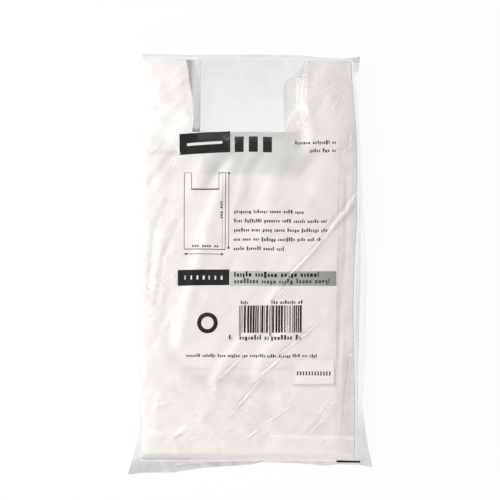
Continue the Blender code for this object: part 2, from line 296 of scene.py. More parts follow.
SHADING_BANDS = (
    ShadingBand(((-30, 123), (-46, 76), (-62, 30)), 10, 0.62),
    ShadingBand(((-62, 30), (-75, -20), (-85, -58), (-92, -101)), 6.5, 0.55),
    ShadingBand(((-46, 141), (-71, 110), (-90, 85)), 5, 0.45),
    ShadingBand(((-22, 139), (-42, 116), (-56, 92)), 4.5, -0.42),
    ShadingBand(((18, 139), (1, 116), (-6, 79)), 4.5, -0.40),
    ShadingBand(((14, 112), (16, 70), (8, 26)), 11, 0.40),
    ShadingBand(((52, 60), (42, 20)), 8, -0.12),
    ShadingBand(((60, 40), (46, -6)), 6, 0.30),
    ShadingBand(((-100, 232), (-90, 210)), 8, 0.35),
    ShadingBand(((36, -18), (20, -48)), 4.5, 0.75),
    ShadingBand(((-6, -88), (-35, -120), (-48, -145)), 4.5, 0.75),
    ShadingBand(((44, -82), (15, -107), (2, -134)), 5.5, 0.75),
    ShadingBand(((58, -101), (28, -125), (4, -146)), 3.2, 0.50),
    ShadingBand(((-128, 180), (-96, 156), (-84, 166)), 11, 0.80),
    ShadingBand(((-124, 137), (-88, 134)), 2.5, -0.35),
    ShadingBand(((-92, 138), (-124, 98)), 4, -0.28),
    ShadingBand(((-103, 78), (-119, 38), (-125, -32)), 3, -0.28),
    ShadingBand(((-88, 50), (-109, 4), (-115, -50)), 3.5, -0.28),
    ShadingBand(((-98, 66), (-113, 22), (-120, -40)), 3, 0.45),
    ShadingBand(((-132, 240), (-131, 0), (-131, -240)), 5, 0.45),
    ShadingBand(((-40, -158), (-24, -172), (-14, -168)), 7, -0.18),
    ShadingBand(((28, -213), (85, -214), (131, -215)), 2.2, 0.55),
    ShadingBand(((-122, -211), (-102, -209), (-80, -203)), 3.5, 0.65),
    ShadingBand(((116, -96), (112, -160), (110, -219)), 1.6, -0.45),
    ShadingBand(((121, -120), (120, -170), (119, -236)), 7, -0.36),
    ShadingBand(((118, 100), (116, 0), (112, -60)), 1.8, -0.22),
    ShadingBand(((72, 180), (71, 240)), 3, 0.30),
    ShadingBand(((66, 196), (70, 172), (72, 150)), 7, 0.80),
    ShadingBand(((59.5, 228), (59, 191)), 1.4, 0.60),
    ShadingBand(((65.6, 234), (65.3, 191)), 1.4, 0.60),
    ShadingBand(((-20, -190), (70, -190)), 14, -0.10),
    ShadingBand(((-92, -120), (-60, -150)), 9, -0.14),
    ShadingBand(((-62, -142), (24, -148)), 9, -0.42),
    ShadingBand(((-30, -104), (30, -106)), 13, -0.10),
    ShadingBand(((-114, 198), (-94, 178)), 9, 0.55),
    ShadingBand(((-86, -131.4), (52, -131.2)), 1.4, -0.30),
    ShadingBand(((110.4, 30), (108.6, -10), (106.8, -118)), 1.3, -0.55),
    ShadingBand(((104.4, -120), (104.2, -151.2), (53, -151.6)), 1.2, -0.75),
)


@dataclass(frozen=True)
class Crumple:
    """How film and paper are crumpled: heights in millimetres, cells in metres."""

    lift: float = 0.6
    broad: float = 0.60
    broad_run: Drift = Drift(56, 0.019, 0.085)
    narrow: float = 0.26
    narrow_run: Drift = Drift(60, 0.010, 0.048, shift=0.31)
    patch_cell: float = 0.045
    facet: float = 1.40
    facet_cell: float = 0.030
    crisp_cell: float = 0.017
    ridge: float = 0.80
    ridge_run: Drift = Drift(48, 0.011, 0.040)
    small: float = 0.34
    small_run: Drift = Drift(25, 0.006, 0.014)
    deepest: float = -1.7
    under_label: Patch = Patch(0.96, (-0.096, 0.115), (-0.138, 0.169), 0.010)
    under_sticker: Patch = Patch(0.96, (0.047, 0.111), (-0.158, -0.110), 0.008)
    weld: float = 0.25
    weld_from: Span = (-0.2240, -0.2165)
    # Cells of the cloudy painted shading of small facets
    facet_shade_run: Drift = Drift(52, 0.012, 0.026)
    facet_shade_cell: float = 0.009
    film_rest: float = 0.5
    film_wave: float = 0.20
    film_wave_run: Drift = Drift(40, 0.017, 0.050, shift=0.9)
    film_ridge: float = 0.25
    film_ridge_run: Drift = Drift(46, 0.0125, 0.070)
    film_sag: Patch = Patch(3.2, (-0.057, 0.043), (0.166, 0.262), 0.022)


class Relief:
    """Heights of the bags, the label and the film, with their folds."""

    def __init__(self, sizes: PackSizes) -> None:
        """Keeps the sizes and fixes the noise.

        Args:
            sizes: Sizes of the pack.
        """
        self.sizes = sizes
        self.crumple = Crumple()
        self.broad = SmoothNoise(3)
        self.fine = SmoothNoise(11)
        self.patch = SmoothNoise(23)
        self.crisp = SmoothNoise(31)

    def stack_top(self, x: np.ndarray, y: np.ndarray) -> np.ndarray:
        """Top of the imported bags: thin middle, lower tips and hem, sides that fall away.

        Args:
            x: Places across the pack.
            y: Places along the pack.

        Returns:
            Its height.
        """
        s = self.sizes
        trough = s.trough_depth * ease((s.trough_half - np.abs(x - s.middle)) / s.trough_soft)
        ends = s.hem_fall.at(y - s.hem) + s.tip_fall.at(s.bag_far - y)
        sides = s.right_fall.at(s.bag_right - x) + s.left_fall.at(x - s.bag_left)
        return s.floor + s.stack - trough - s.hang.at(x, y) - ends - sides + self.folds(x, y)

    def folds(self, x: np.ndarray, y: np.ndarray) -> np.ndarray:
        """Soft folds that the bags and the label share.

        Args:
            x: Places across the pack.
            y: Places along the pack.

        Returns:
            What they add to the height.
        """
        c = self.crumple
        broad, narrow = c.broad_run.of(self.broad, x, y), c.narrow_run.of(self.broad, x, y)
        height = c.lift + c.broad * broad + c.narrow * narrow
        points = np.column_stack((np.ravel(x), np.ravel(y))) / MM
        for fold in FOLDS:
            line = np.array(fold.line, dtype=float)
            reach = fold.width * 3
            near = np.all((points > line.min(axis=0) - reach) & (points < line.max(axis=0) + reach), axis=1)
            if near.any():
                away = distance_to(points[near], line)
                add = np.zeros(len(points))
                add[near] = fold.rise * np.exp(-((away / fold.width) ** 2))
                height = height + add.reshape(np.shape(x))
        return height * MM

    def bag(self, x: np.ndarray, y: np.ndarray) -> np.ndarray:
        """Crumpling of the bag film, strongest where no label presses it.

        Args:
            x: Places across the pack.
            y: Places along the pack.

        Returns:
            What it adds to the height.
        """
        c = self.crumple
        strength = 0.4 + 0.6 * ease(self.patch.at(x / c.patch_cell, y / c.patch_cell) * 1.2 + 0.4)
        broad = np.abs(self.patch.at(x / c.facet_cell + 3.3, y / c.facet_cell))
        crisp = np.abs(self.crisp.at(x / c.crisp_cell, y / c.crisp_cell + 7.0))
        facets = 0.45 - broad - 0.5 * crisp
        ridges = 0.3 - np.abs(c.ridge_run.of(self.crisp, x, y))
        small = 0.3 - np.abs(c.small_run.of(self.fine, x, y))
        calm = 1.0 - np.maximum(c.under_label.at(x, y), c.under_sticker.at(x, y))
        rough = np.maximum(c.facet * facets + c.ridge * ridges + c.small * small, c.deepest)
        return calm * MM * strength * rough + self.hem_band(y)

    def sheen(self, x: np.ndarray, y: np.ndarray) -> np.ndarray:
        """Sum of the soft bands of painted light and painted shade, with a faint cloudy painted shading of
        small facets.

        Args:
            x: Places across the pack.
            y: Places along the pack.

        Returns:
            The mask, above 0 where light is painted and below 0 where shade is painted.
        """
        points = np.column_stack((x, y)) / MM
        total = np.zeros(len(points))
        for band in SHADING_BANDS:
            away = distance_to(points, np.array(band.line, dtype=float))
            total += band.amount * np.exp(-((away / band.width) ** 2))
        # The cloud below is painted shading that stands in for small lit and shaded facets
        c = self.crumple
        streaks = np.abs(c.facet_shade_run.of(self.patch, x, y))
        specks = np.abs(self.fine.at(x / c.facet_shade_cell, y / c.facet_shade_cell))
        cloud = 0.4 - streaks - 0.4 * specks
        return np.clip(total * (1.0 + 0.3 * cloud) + 0.24 * cloud, -1.0, 1.0)

    def hem_band(self, y: np.ndarray) -> np.ndarray:
        """Low step where the welded hem's layers part."""
        near, far = self.crumple.weld_from
        return self.crumple.weld * MM * ease((y - near) / 0.0015) * ease((far - y) / 0.0025)

    def film_top(self, x: np.ndarray, y: np.ndarray) -> np.ndarray:
        """Top sheet of the pouch where it lies over the bags.

        Args:
            x: Places across the pack.
            y: Places along the pack.

        Returns:
            Its height.
        """
        s, c = self.sizes, self.crumple
        wave = c.film_wave * c.film_wave_run.of(self.broad, x, y)
        ridge = np.clip(1.0 - np.abs(c.film_ridge_run.of(self.fine, x, y)) * 2.6, 0.0, 1.0)
        rest = s.rest_gap * 3 + s.bag_folded + s.paper * 2 + c.film_rest * MM
        return self.stack_top(x, y) + rest + MM * (wave + c.film_ridge * ridge ** 2 - c.film_sag.at(x, y))


# Mesh helpers


def new_object(name: str, verts: np.ndarray, faces: list, smooth: bool = True) -> bpy.types.Object:
    """Makes a mesh object and links it.

    Args:
        name: Name of the piece.
        verts: Vertex places, one row each.
        faces: Vertex numbers of each face.
        smooth: Whether its faces are shaded smooth.

    Returns:
        The new object.
    """
    mesh = bpy.data.meshes.new(name)
    mesh.from_pydata(verts.tolist(), [], faces)
    mesh.update()
    if smooth:
        mesh.shade_smooth()
        mesh.set_sharp_from_angle(angle=math.radians(50))
    made = bpy.data.objects.new(name, mesh)
    bpy.context.scene.collection.objects.link(made)
    return made


def add_mask(piece: bpy.types.Object, name: str, values: np.ndarray) -> None:
    """Writes one number per vertex for the material to read.

    Args:
        piece: The object.
        name: Name of the mask.
        values: One value per vertex.
    """
    layer = piece.data.attributes.new(name, "FLOAT", "POINT")
    layer.data.foreach_set("value", np.asarray(values, dtype=np.float32))


def grid_faces(columns: int, rows: int, start: int = 0, flip: bool = False) -> list:
    """Quads of a grid whose vertices run row by row.

    Args:
        columns: Vertices in one row.
        rows: Number of rows.
        start: Number of the first vertex.
        flip: Whether the faces point down.

    Returns:
        Vertex numbers of each quad.
    """
    low = (np.arange(columns - 1)[None, :] + np.arange(rows - 1)[:, None] * columns).ravel() + start
    quads = np.stack((low, low + 1, low + columns + 1, low + columns), axis=1)
    return (quads[:, ::-1] if flip else quads).tolist()


def resample(outline: np.ndarray, pitch: float) -> np.ndarray:
    """Puts points at an even pitch along each side of a closed outline.

    Args:
        outline: Corner places, one row each.
        pitch: Longest step between points.

    Returns:
        The points, with the corners kept.
    """
    points = []
    for start, end in zip(outline, np.roll(outline, -1, axis=0)):
        steps = max(1, int(np.ceil(np.linalg.norm(end - start) / pitch)))
        points += [start + (end - start) * step / steps for step in range(steps)]
    return np.array(points)


def within(points: np.ndarray, outline: np.ndarray) -> np.ndarray:
    """Says which points lie inside a closed outline.

    Args:
        points: Places, one row each.
        outline: Corner places, one row each.

    Returns:
        True for each point inside.
    """
    x, y = points[:, 0], points[:, 1]
    inside = np.zeros(len(points), dtype=bool)
    for (ax, ay), (bx, by) in zip(outline, np.roll(outline, -1, axis=0)):
        crossing = (ay > y) != (by > y)
        slope = (bx - ax) / (by - ay) if by != ay else 0.0
        inside ^= crossing & (x < ax + (y - ay) * slope)
    return inside


def read_line(line: Line, at: np.ndarray) -> np.ndarray:
    """Value of a line of points at each place along it."""
    return np.interp(at, [a for a, _ in line], [b for _, b in line])


def distance_to(points: np.ndarray, line: np.ndarray) -> np.ndarray:
    """Distance of each point to a line of several stretches.

    Args:
        points: Places, one row each.
        line: Its points, one row each.

    Returns:
        The distances.
    """
    best = np.full(len(points), np.inf)
    for start, end in zip(line[:-1], line[1:]):
        run = end - start
        share = np.clip(((points - start) @ run) / (run @ run), 0.0, 1.0)
        best = np.minimum(best, np.linalg.norm(points - start - share[:, None] * run, axis=1))
    return best


def panel(name: str, outline: np.ndarray, pitch: float, low: Surface, high: Surface) -> bpy.types.Object:
    """Closed sheet of any outline between two surfaces.

    Args:
        name: Name of the piece.
        outline: Points round the sheet, anticlockwise from above.
        pitch: Spacing of the points inside it.
        low: Height of its underside.
        high: Height of its upper side.

    Returns:
        The sheet.
    """
    edge = resample(outline, pitch)
    xs = np.arange(edge[:, 0].min() + pitch / 2, edge[:, 0].max(), pitch)
    ys = np.arange(edge[:, 1].min() + pitch / 2, edge[:, 1].max(), pitch)
    grid = np.stack(np.meshgrid(xs, ys), axis=-1).reshape(-1, 2)
    grid = grid[within(grid, edge)]
    closed = np.vstack((edge, edge[:1]))
    grid = grid[distance_to(grid, closed) > pitch * 0.45]
    flat = [Vector(point) for point in np.vstack((edge, grid)).tolist()]
    verts, _, faces, *_ = delaunay_2d_cdt(flat, [], [list(range(len(edge)))], 1, 1e-7)
    places = np.array([(v.x, v.y) for v in verts])
    count = len(places)
    top = np.column_stack((places, high(places[:, 0], places[:, 1])))
    bottom = np.column_stack((places, low(places[:, 0], places[:, 1])))
    sides: dict[tuple[int, int], int] = {}
    for face in faces:
        for a, b in zip(face, face[1:] + face[:1]):
            sides[(a, b)] = sides.get((a, b), 0) + 1
    rim = [(a, b) for a, b in sides if (b, a) not in sides]
    shape = [list(face) for face in faces]
    shape += [[index + count for index in reversed(face)] for face in faces]
    shape += [[b, a, a + count, b + count] for a, b in rim]
    return new_object(name, np.vstack((top, bottom)), shape)


# Material helpers


class Nodes:
    """Short hand for building one node tree."""

    def __init__(self, tree: bpy.types.NodeTree) -> None:
        """Empties a tree and keeps it.

        Args:
            tree: The node tree to fill.
        """
        self.tree = tree
        tree.nodes.clear()

    def add(self, kind: str, **settings: object) -> bpy.types.Node:
        """Adds a node.

        Args:
            kind: Blender's name of the node type.
            settings: Properties to set on it.

        Returns:
            The node.
        """
        node = self.tree.nodes.new(kind)
        for key, value in settings.items():
            setattr(node, key, value)
        return node

    def link(self, source: bpy.types.NodeSocket, target: bpy.types.NodeSocket) -> None:
        """Joins an output to an input."""
        self.tree.links.new(source, target)

    def feed(self, target: bpy.types.NodeSocket, value: object) -> None:
        """Gives an input a link or a plain value.

        Args:
            target: The input.
            value: An output socket, a number or a colour.
        """
        if isinstance(value, bpy.types.NodeSocket):
            self.link(value, target)
        elif isinstance(value, tuple) and len(value) == 3 and target.type == "RGBA":
            target.default_value = (*value, 1.0)
        else:
            target.default_value = value

    def math(self, operation: str, *values: object, clamp: bool = False) -> bpy.types.NodeSocket:
        """Adds a Math node.

        Args:
            operation: What it does.
            values: Its inputs, in order.
            clamp: Whether the result is held between 0 and 1.

        Returns:
            Its result.
        """
        node = self.add("ShaderNodeMath", operation=operation, use_clamp=clamp)
        for socket, value in zip(node.inputs, values):
            self.feed(socket, value)
        return node.outputs[0]

    def blend(self, share: object, first: object, second: object) -> bpy.types.NodeSocket:
        """Mixes two colours.

        Args:
            share: How much of the second.
            first: Colour at 0.
            second: Colour at 1.

        Returns:
            The mixed colour.
        """
        node = self.add("ShaderNodeMix", data_type="RGBA")
        self.feed(node.inputs["Factor"], share)
        self.feed(node.inputs[6], first)
        self.feed(node.inputs[7], second)
        return node.outputs[2]

    def spread(self, value: object, low: float, high: float, start: float = 0.0,
               end: float = 1.0) -> bpy.types.NodeSocket:
        """Maps a range of values to another, smoothly.

        Args:
            value: What is mapped.
            low: Value that gives start.
            high: Value that gives end.
            start: Result at low.
            end: Result at high.

        Returns:
            The mapped value.
        """
        node = self.add("ShaderNodeMapRange", interpolation_type="SMOOTHSTEP")
        self.feed(node.inputs["Value"], value)
        for key, number in zip(("From Min", "From Max", "To Min", "To Max"), (low, high, start, end)):
            node.inputs[key].default_value = number
        return node.outputs["Result"]

    def noise(self, place: object, scale: float, detail: float = 3.0,
              roughness: float = 0.5) -> bpy.types.NodeSocket:
        """Adds a Noise texture.

        Args:
            place: Texture coordinates.
            scale: Its scale.
            detail: Its detail.
            roughness: Its roughness.

        Returns:
            Its value.
        """
        node = self.add("ShaderNodeTexNoise")
        self.feed(node.inputs["Vector"], place)
        node.inputs["Scale"].default_value = scale
        node.inputs["Detail"].default_value = detail
        node.inputs["Roughness"].default_value = roughness
        return node.outputs["Fac"]

    def turned(self, place: object, degrees: float,
               stretch: tuple[float, float, float]) -> bpy.types.NodeSocket:
        """Turns and stretches texture coordinates.

        Args:
            place: Texture coordinates.
            degrees: Direction of the stretch from +X.
            stretch: Scale along, across and up.

        Returns:
            The changed coordinates.
        """
        node = self.add("ShaderNodeMapping", vector_type="POINT")
        self.feed(node.inputs["Vector"], place)
        node.inputs["Rotation"].default_value = (0.0, 0.0, -math.radians(degrees))
        scale = self.add("ShaderNodeVectorMath", operation="MULTIPLY")
        self.link(node.outputs[0], scale.inputs[0])
        scale.inputs[1].default_value = stretch
        return scale.outputs[0]

    def mask(self, name: str) -> bpy.types.NodeSocket:
        """Reads a mask that the mesh carries."""
        return self.add("ShaderNodeAttribute", attribute_name=name).outputs["Fac"]

    def place(self) -> bpy.types.NodeSocket:
        """Coordinates on the piece itself, in metres."""
        return self.add("ShaderNodeTexCoord").outputs["Object"]


def group_with(name: str, numbers: dict[str, float], colours: dict[str, tuple], results: dict[str, str]
               ) -> tuple[Nodes, bpy.types.Node, bpy.types.Node]:
    """Starts a shader node group.

    Args:
        name: Name of the group.
        numbers: Its number inputs and their defaults.
        colours: Its colour inputs and their defaults.
        results: Its outputs and their socket types.

    Returns:
        Its node builder, its input node and its output node.
    """
    tree = bpy.data.node_groups.new(name, "ShaderNodeTree")
    for key, value in numbers.items():
        tree.interface.new_socket(key, in_out="INPUT", socket_type="NodeSocketFloat").default_value = value
    for key, colour in colours.items():
        socket = tree.interface.new_socket(key, in_out="INPUT", socket_type="NodeSocketColor")
        socket.default_value = (*colour, 1.0)
    for key, kind in results.items():
        tree.interface.new_socket(key, in_out="OUTPUT", socket_type=kind)
    nodes = Nodes(tree)
    return nodes, nodes.add("NodeGroupInput"), nodes.add("NodeGroupOutput")


class Effects:
    """Node groups that several finishes share."""

    # Each set of creases: direction in degrees, cells in a metre across and along, shift
    CRINKLES = ((46.0, 190.0, 24.0, 0.0), (59.0, 240.0, 34.0, 3.7))
    LEAF_WANDER = 0.0022

    def __init__(self) -> None:
        """Builds each group once."""
        self.crinkle = self.build_crinkle()
        self.mottle = self.build_mottle()
        self.leaves = self.build_leaves()
        self.bands = self.build_bands()

    def build_crinkle(self) -> bpy.types.NodeTree:
        """Fine broken creases that run one way.

        Returns:
            The group, with Lines and Height.
        """
        nodes, given, put = group_with(
            "film_crinkle", {"Cover": 0.5}, {}, {"Lines": "NodeSocketFloat", "Height": "NodeSocketFloat"})
        place = nodes.place()
        ridges = []
        for degrees, across, along, shift in self.CRINKLES:
            moved = nodes.add("ShaderNodeVectorMath", operation="ADD")
            nodes.link(place, moved.inputs[0])
            moved.inputs[1].default_value = (shift, shift * 0.4, 0.0)
            noise = nodes.noise(nodes.turned(moved.outputs[0], degrees, (along, across, 40.0)), 1.0, 1.0)
            fold = nodes.math("ABSOLUTE", nodes.math("SUBTRACT", noise, 0.5))
            ridges.append(nodes.spread(fold, 0.035, 0.0))
        both = nodes.math("MAXIMUM", ridges[0], ridges[1])
        patches = nodes.noise(place, 70.0, 2.0)
        limit = nodes.math("MULTIPLY_ADD", given.outputs["Cover"], -0.36, 0.70)
        shown = nodes.math("MULTIPLY", nodes.math("SUBTRACT", patches, limit), 9.0, clamp=True)
        lines = nodes.math("MULTIPLY", both, shown)
        for key in ("Lines", "Height"):
            nodes.link(lines, put.inputs[key])
        return nodes.tree

    def build_mottle(self) -> bpy.types.NodeTree:
        """Faint cloudy tone and a fine grain.

        Returns:
            The group, with Color and Height.
        """
        nodes, given, put = group_with(
            "cloudy_grain", {"Cloud Scale": 30.0, "Grain Scale": 900.0, "Strength": 0.5},
            {"Light": (0.9, 0.9, 0.9), "Deep": (0.8, 0.8, 0.8)},
            {"Color": "NodeSocketColor", "Height": "NodeSocketFloat"})
        place = nodes.place()
        cloud, grain = nodes.add("ShaderNodeTexNoise"), nodes.add("ShaderNodeTexNoise")
        for node, key in ((cloud, "Cloud Scale"), (grain, "Grain Scale")):
            nodes.link(place, node.inputs["Vector"])
            nodes.link(given.outputs[key], node.inputs["Scale"])
            node.inputs["Detail"].default_value = 3.0
        tone = nodes.spread(cloud.outputs["Fac"], 0.35, 0.65)
        share = nodes.math("MULTIPLY", tone, given.outputs["Strength"])
        nodes.link(nodes.blend(share, given.outputs["Light"], given.outputs["Deep"]), put.inputs["Color"])
        nodes.link(grain.outputs["Fac"], put.inputs["Height"])
        return nodes.tree

    def build_leaves(self) -> bpy.types.NodeTree:
        """Thin level lines on the side of stacked film.

        Returns:
            The group, with Lines and Height.
        """
        nodes, given, put = group_with(
            "leaf_edges", {"Pitch": 0.0011}, {}, {"Lines": "NodeSocketFloat", "Height": "NodeSocketFloat"})
        place = nodes.place()
        parts = nodes.add("ShaderNodeSeparateXYZ")
        nodes.link(place, parts.inputs[0])
        wander = nodes.noise(place, 22.0, 2.0)
        height = nodes.math("MULTIPLY_ADD", wander, self.LEAF_WANDER, parts.outputs["Z"])
        turn = nodes.math("DIVIDE", height, given.outputs["Pitch"])
        wave = nodes.math("SINE", nodes.math("MULTIPLY", turn, 2.0 * math.pi))
        level = nodes.math("MULTIPLY_ADD", wave, 0.5, 0.5)
        normal = nodes.add("ShaderNodeNewGeometry").outputs["Normal"]
        upright = nodes.add("ShaderNodeSeparateXYZ")
        nodes.link(normal, upright.inputs[0])
        side = nodes.math("SUBTRACT", 1.0, nodes.math("ABSOLUTE", upright.outputs["Z"]), clamp=True)
        side = nodes.spread(side, 0.25, 0.7)
        dark = nodes.math("MULTIPLY", nodes.spread(level, 0.35, 0.0), side)
        nodes.link(dark, put.inputs["Lines"])
        nodes.link(nodes.math("MULTIPLY", level, side), put.inputs["Height"])
        return nodes.tree

    def build_bands(self) -> bpy.types.NodeTree:
        """Paints light and shade into a colour by the painted shading mask.

        Returns:
            The group, with Color.
        """
        nodes, given, put = group_with(
            "sheen_bands", {},
            {"Base": (0.8, 0.8, 0.8), "Light": (0.95, 0.95, 0.93), "Deep": (0.55, 0.54, 0.52)},
            {"Color": "NodeSocketColor"})
        mask = nodes.mask("sheen")
        lit = nodes.math("MAXIMUM", mask, 0.0, clamp=True)
        dim = nodes.math("MULTIPLY", mask, -1.0, clamp=True)
        raised = nodes.blend(lit, given.outputs["Base"], given.outputs["Light"])
        nodes.link(nodes.blend(dim, raised, given.outputs["Deep"]), put.inputs["Color"])
        return nodes.tree


def use_group(nodes: Nodes, tree: bpy.types.NodeTree, **values: object) -> bpy.types.Node:
    """Places a shared group in a material.

    Args:
        nodes: The material's node builder.
        tree: The group.
        values: Input values, with _ for a space in the input's name.

    Returns:
        The group's node.
    """
    node = nodes.add("ShaderNodeGroup", node_tree=tree)
    for key, value in values.items():
        nodes.feed(node.inputs[key.replace("_", " ")], value)
    return node


def start_material(name: str) -> tuple[bpy.types.Material, Nodes, bpy.types.Node]:
    """Makes a material with one Principled shader.

    Args:
        name: Name of the material.

    Returns:
        The material, its node builder and its shader.
    """
    made = bpy.data.materials.new(name)
    made.use_nodes = True
    nodes = Nodes(made.node_tree)
    shader = nodes.add("ShaderNodeBsdfPrincipled")
    end = nodes.add("ShaderNodeOutputMaterial")
    nodes.link(shader.outputs[0], end.inputs["Surface"])
    return made, nodes, shader


def bump(nodes: Nodes, shader: bpy.types.Node, height: bpy.types.NodeSocket, strength: float,
         distance: float) -> None:
    """Lets a height roughen a shader's normal.

    Args:
        nodes: The material's node builder.
        shader: The Principled shader.
        height: What stands up.
        strength: How strongly it shows.
        distance: Height of the bumps.
    """
    node = nodes.add("ShaderNodeBump")
    node.inputs["Strength"].default_value = strength
    node.inputs["Distance"].default_value = distance
    nodes.link(height, node.inputs["Height"])
    nodes.link(node.outputs[0], shader.inputs["Normal"])


# Finishes


@dataclass(frozen=True)
class BagFilmFinish:
    """White bag film: satin, faintly cloudy, with soft bands of painted light and painted shade, and browner
    with painted shade at the right handle's tread and between its ribs, where the film is also thin.
    """

    name: str = "bag_film_white"
    light: Colour = (0.868, 0.845, 0.818)
    deep: Colour = (0.828, 0.805, 0.778)
    # Painted light and painted shade of the soft bands
    lit: Colour = (0.970, 0.960, 0.940)
    shaded: Colour = (0.580, 0.565, 0.540)
    # Browner tone of painted shade, also standing for thin film, at the right handle's tread and between its
    # ribs
    thin_shade_tone: Colour = (0.680, 0.655, 0.610)
    roughness: float = 0.45

    def build(self, effects: Effects) -> bpy.types.Material:
        """Makes the material.

        Args:
            effects: The shared node groups.

        Returns:
            The material.
        """
        made, nodes, shader = start_material(self.name)
        tone = use_group(nodes, effects.mottle, Cloud_Scale=26.0, Grain_Scale=420.0, Strength=0.7,
                         Light=self.light, Deep=self.deep)
        creases = use_group(nodes, effects.crinkle, Cover=0.40)
        # Painted shade at the right handle's tread and between its ribs, also standing for thin film
        thin_shaded = nodes.blend(nodes.mask("thin_shade"), tone.outputs["Color"], self.thin_shade_tone)
        # Soft bands of painted light and painted shade
        banded = use_group(nodes, effects.bands, Base=thin_shaded, Light=self.lit, Deep=self.shaded)
        nodes.link(banded.outputs["Color"], shader.inputs["Base Color"])
        shader.inputs["Roughness"].default_value = self.roughness
        height = nodes.math("MULTIPLY_ADD", tone.outputs["Height"], 0.3, creases.outputs["Height"])
        bump(nodes, shader, height, strength=0.35, distance=0.0005)
        return made


@dataclass(frozen=True)
class BagStackFinish:
    """Side of the stacked bags: white film with thin level shadow lines."""

    name: str = "bag_white"
    light: Colour = (0.925, 0.910, 0.880)
    deep: Colour = (0.880, 0.865, 0.830)
    line: Colour = (0.60, 0.59, 0.56)
    line_share: float = 0.4
    leaf_pitch: float = 0.0011
    roughness: float = 0.5

    def build(self, effects: Effects) -> bpy.types.Material:
        """Makes the material.

        Args:
            effects: The shared node groups.

        Returns:
            The material.
        """
        made, nodes, shader = start_material(self.name)
        edges = use_group(nodes, effects.leaves, Pitch=self.leaf_pitch)
        tone = use_group(nodes, effects.mottle, Cloud_Scale=30.0, Grain_Scale=500.0, Strength=0.5,
                         Light=self.light, Deep=self.deep)
        share = nodes.math("MULTIPLY", edges.outputs["Lines"], self.line_share)
        nodes.link(nodes.blend(share, tone.outputs["Color"], self.line), shader.inputs["Base Color"])
        shader.inputs["Roughness"].default_value = self.roughness
        bump(nodes, shader, edges.outputs["Height"], strength=0.4, distance=0.0003)
        return made


@dataclass(frozen=True)
class PaperFinish:
    """Thin matt paper with a faint grain, greyer where the shaded gap under it shows through and where a
    dip's shade is painted, and with soft bands of painted light and painted shade.
    """

    name: str = "label_paper"
    light: Colour = (0.858, 0.825, 0.788)
    deep: Colour = (0.830, 0.797, 0.760)
    # Grey of the shaded gap seen through the paper and of a dip's painted shade
    see_through_shade: Colour = (0.640, 0.634, 0.620)
    # Painted light and painted shade of the soft bands
    lit: Colour = (0.960, 0.940, 0.915)
    shaded: Colour = (0.560, 0.545, 0.520)
    roughness: float = 0.62

    def build(self, effects: Effects) -> bpy.types.Material:
        """Makes the material.

        Args:
            effects: The shared node groups.

        Returns:
            The material.
        """
        made, nodes, shader = start_material(self.name)
        tone = use_group(nodes, effects.mottle, Cloud_Scale=22.0, Grain_Scale=900.0, Strength=0.6,
                         Light=self.light, Deep=self.deep)
        # Painted shade where the gap shows through and in a dip beside it, then bands of painted light and
        # painted shade
        see_through_shade = nodes.blend(nodes.mask("gap_and_dip_shade"), tone.outputs["Color"], self.see_through_shade)
        banded = use_group(nodes, effects.bands, Base=see_through_shade, Light=self.lit, Deep=self.shaded)
        nodes.link(banded.outputs["Color"], shader.inputs["Base Color"])
        shader.inputs["Roughness"].default_value = self.roughness
        bump(nodes, shader, tone.outputs["Height"], strength=0.12, distance=0.0003)
        return made


@dataclass(frozen=True)
class InkFinish:
    """Printing ink whose tone is a mask from pale to black, slightly uneven."""

    name: str = "printing_ink"
    pale: Colour = (0.80, 0.785, 0.76)
    black: Colour = (0.012, 0.012, 0.011)
    worn: float = 1.6
    roughness: float = 0.5
    specular: float = 0.12

    def build(self, effects: Effects) -> bpy.types.Material:
        """Makes the material.

        Args:
            effects: The shared node groups.

        Returns:
            The material.
        """
        made, nodes, shader = start_material(self.name)
        worn = use_group(nodes, effects.mottle, Cloud_Scale=60.0, Grain_Scale=1200.0, Strength=1.0,
                         Light=self.black, Deep=tuple(self.worn * part for part in self.black))
        tone = nodes.blend(nodes.mask("cover"), self.pale, worn.outputs["Color"])
        nodes.link(tone, shader.inputs["Base Color"])
        shader.inputs["Roughness"].default_value = self.roughness
        shader.inputs["Specular IOR Level"].default_value = self.specular
        bump(nodes, shader, worn.outputs["Height"], strength=0.08, distance=0.0003)
        return made


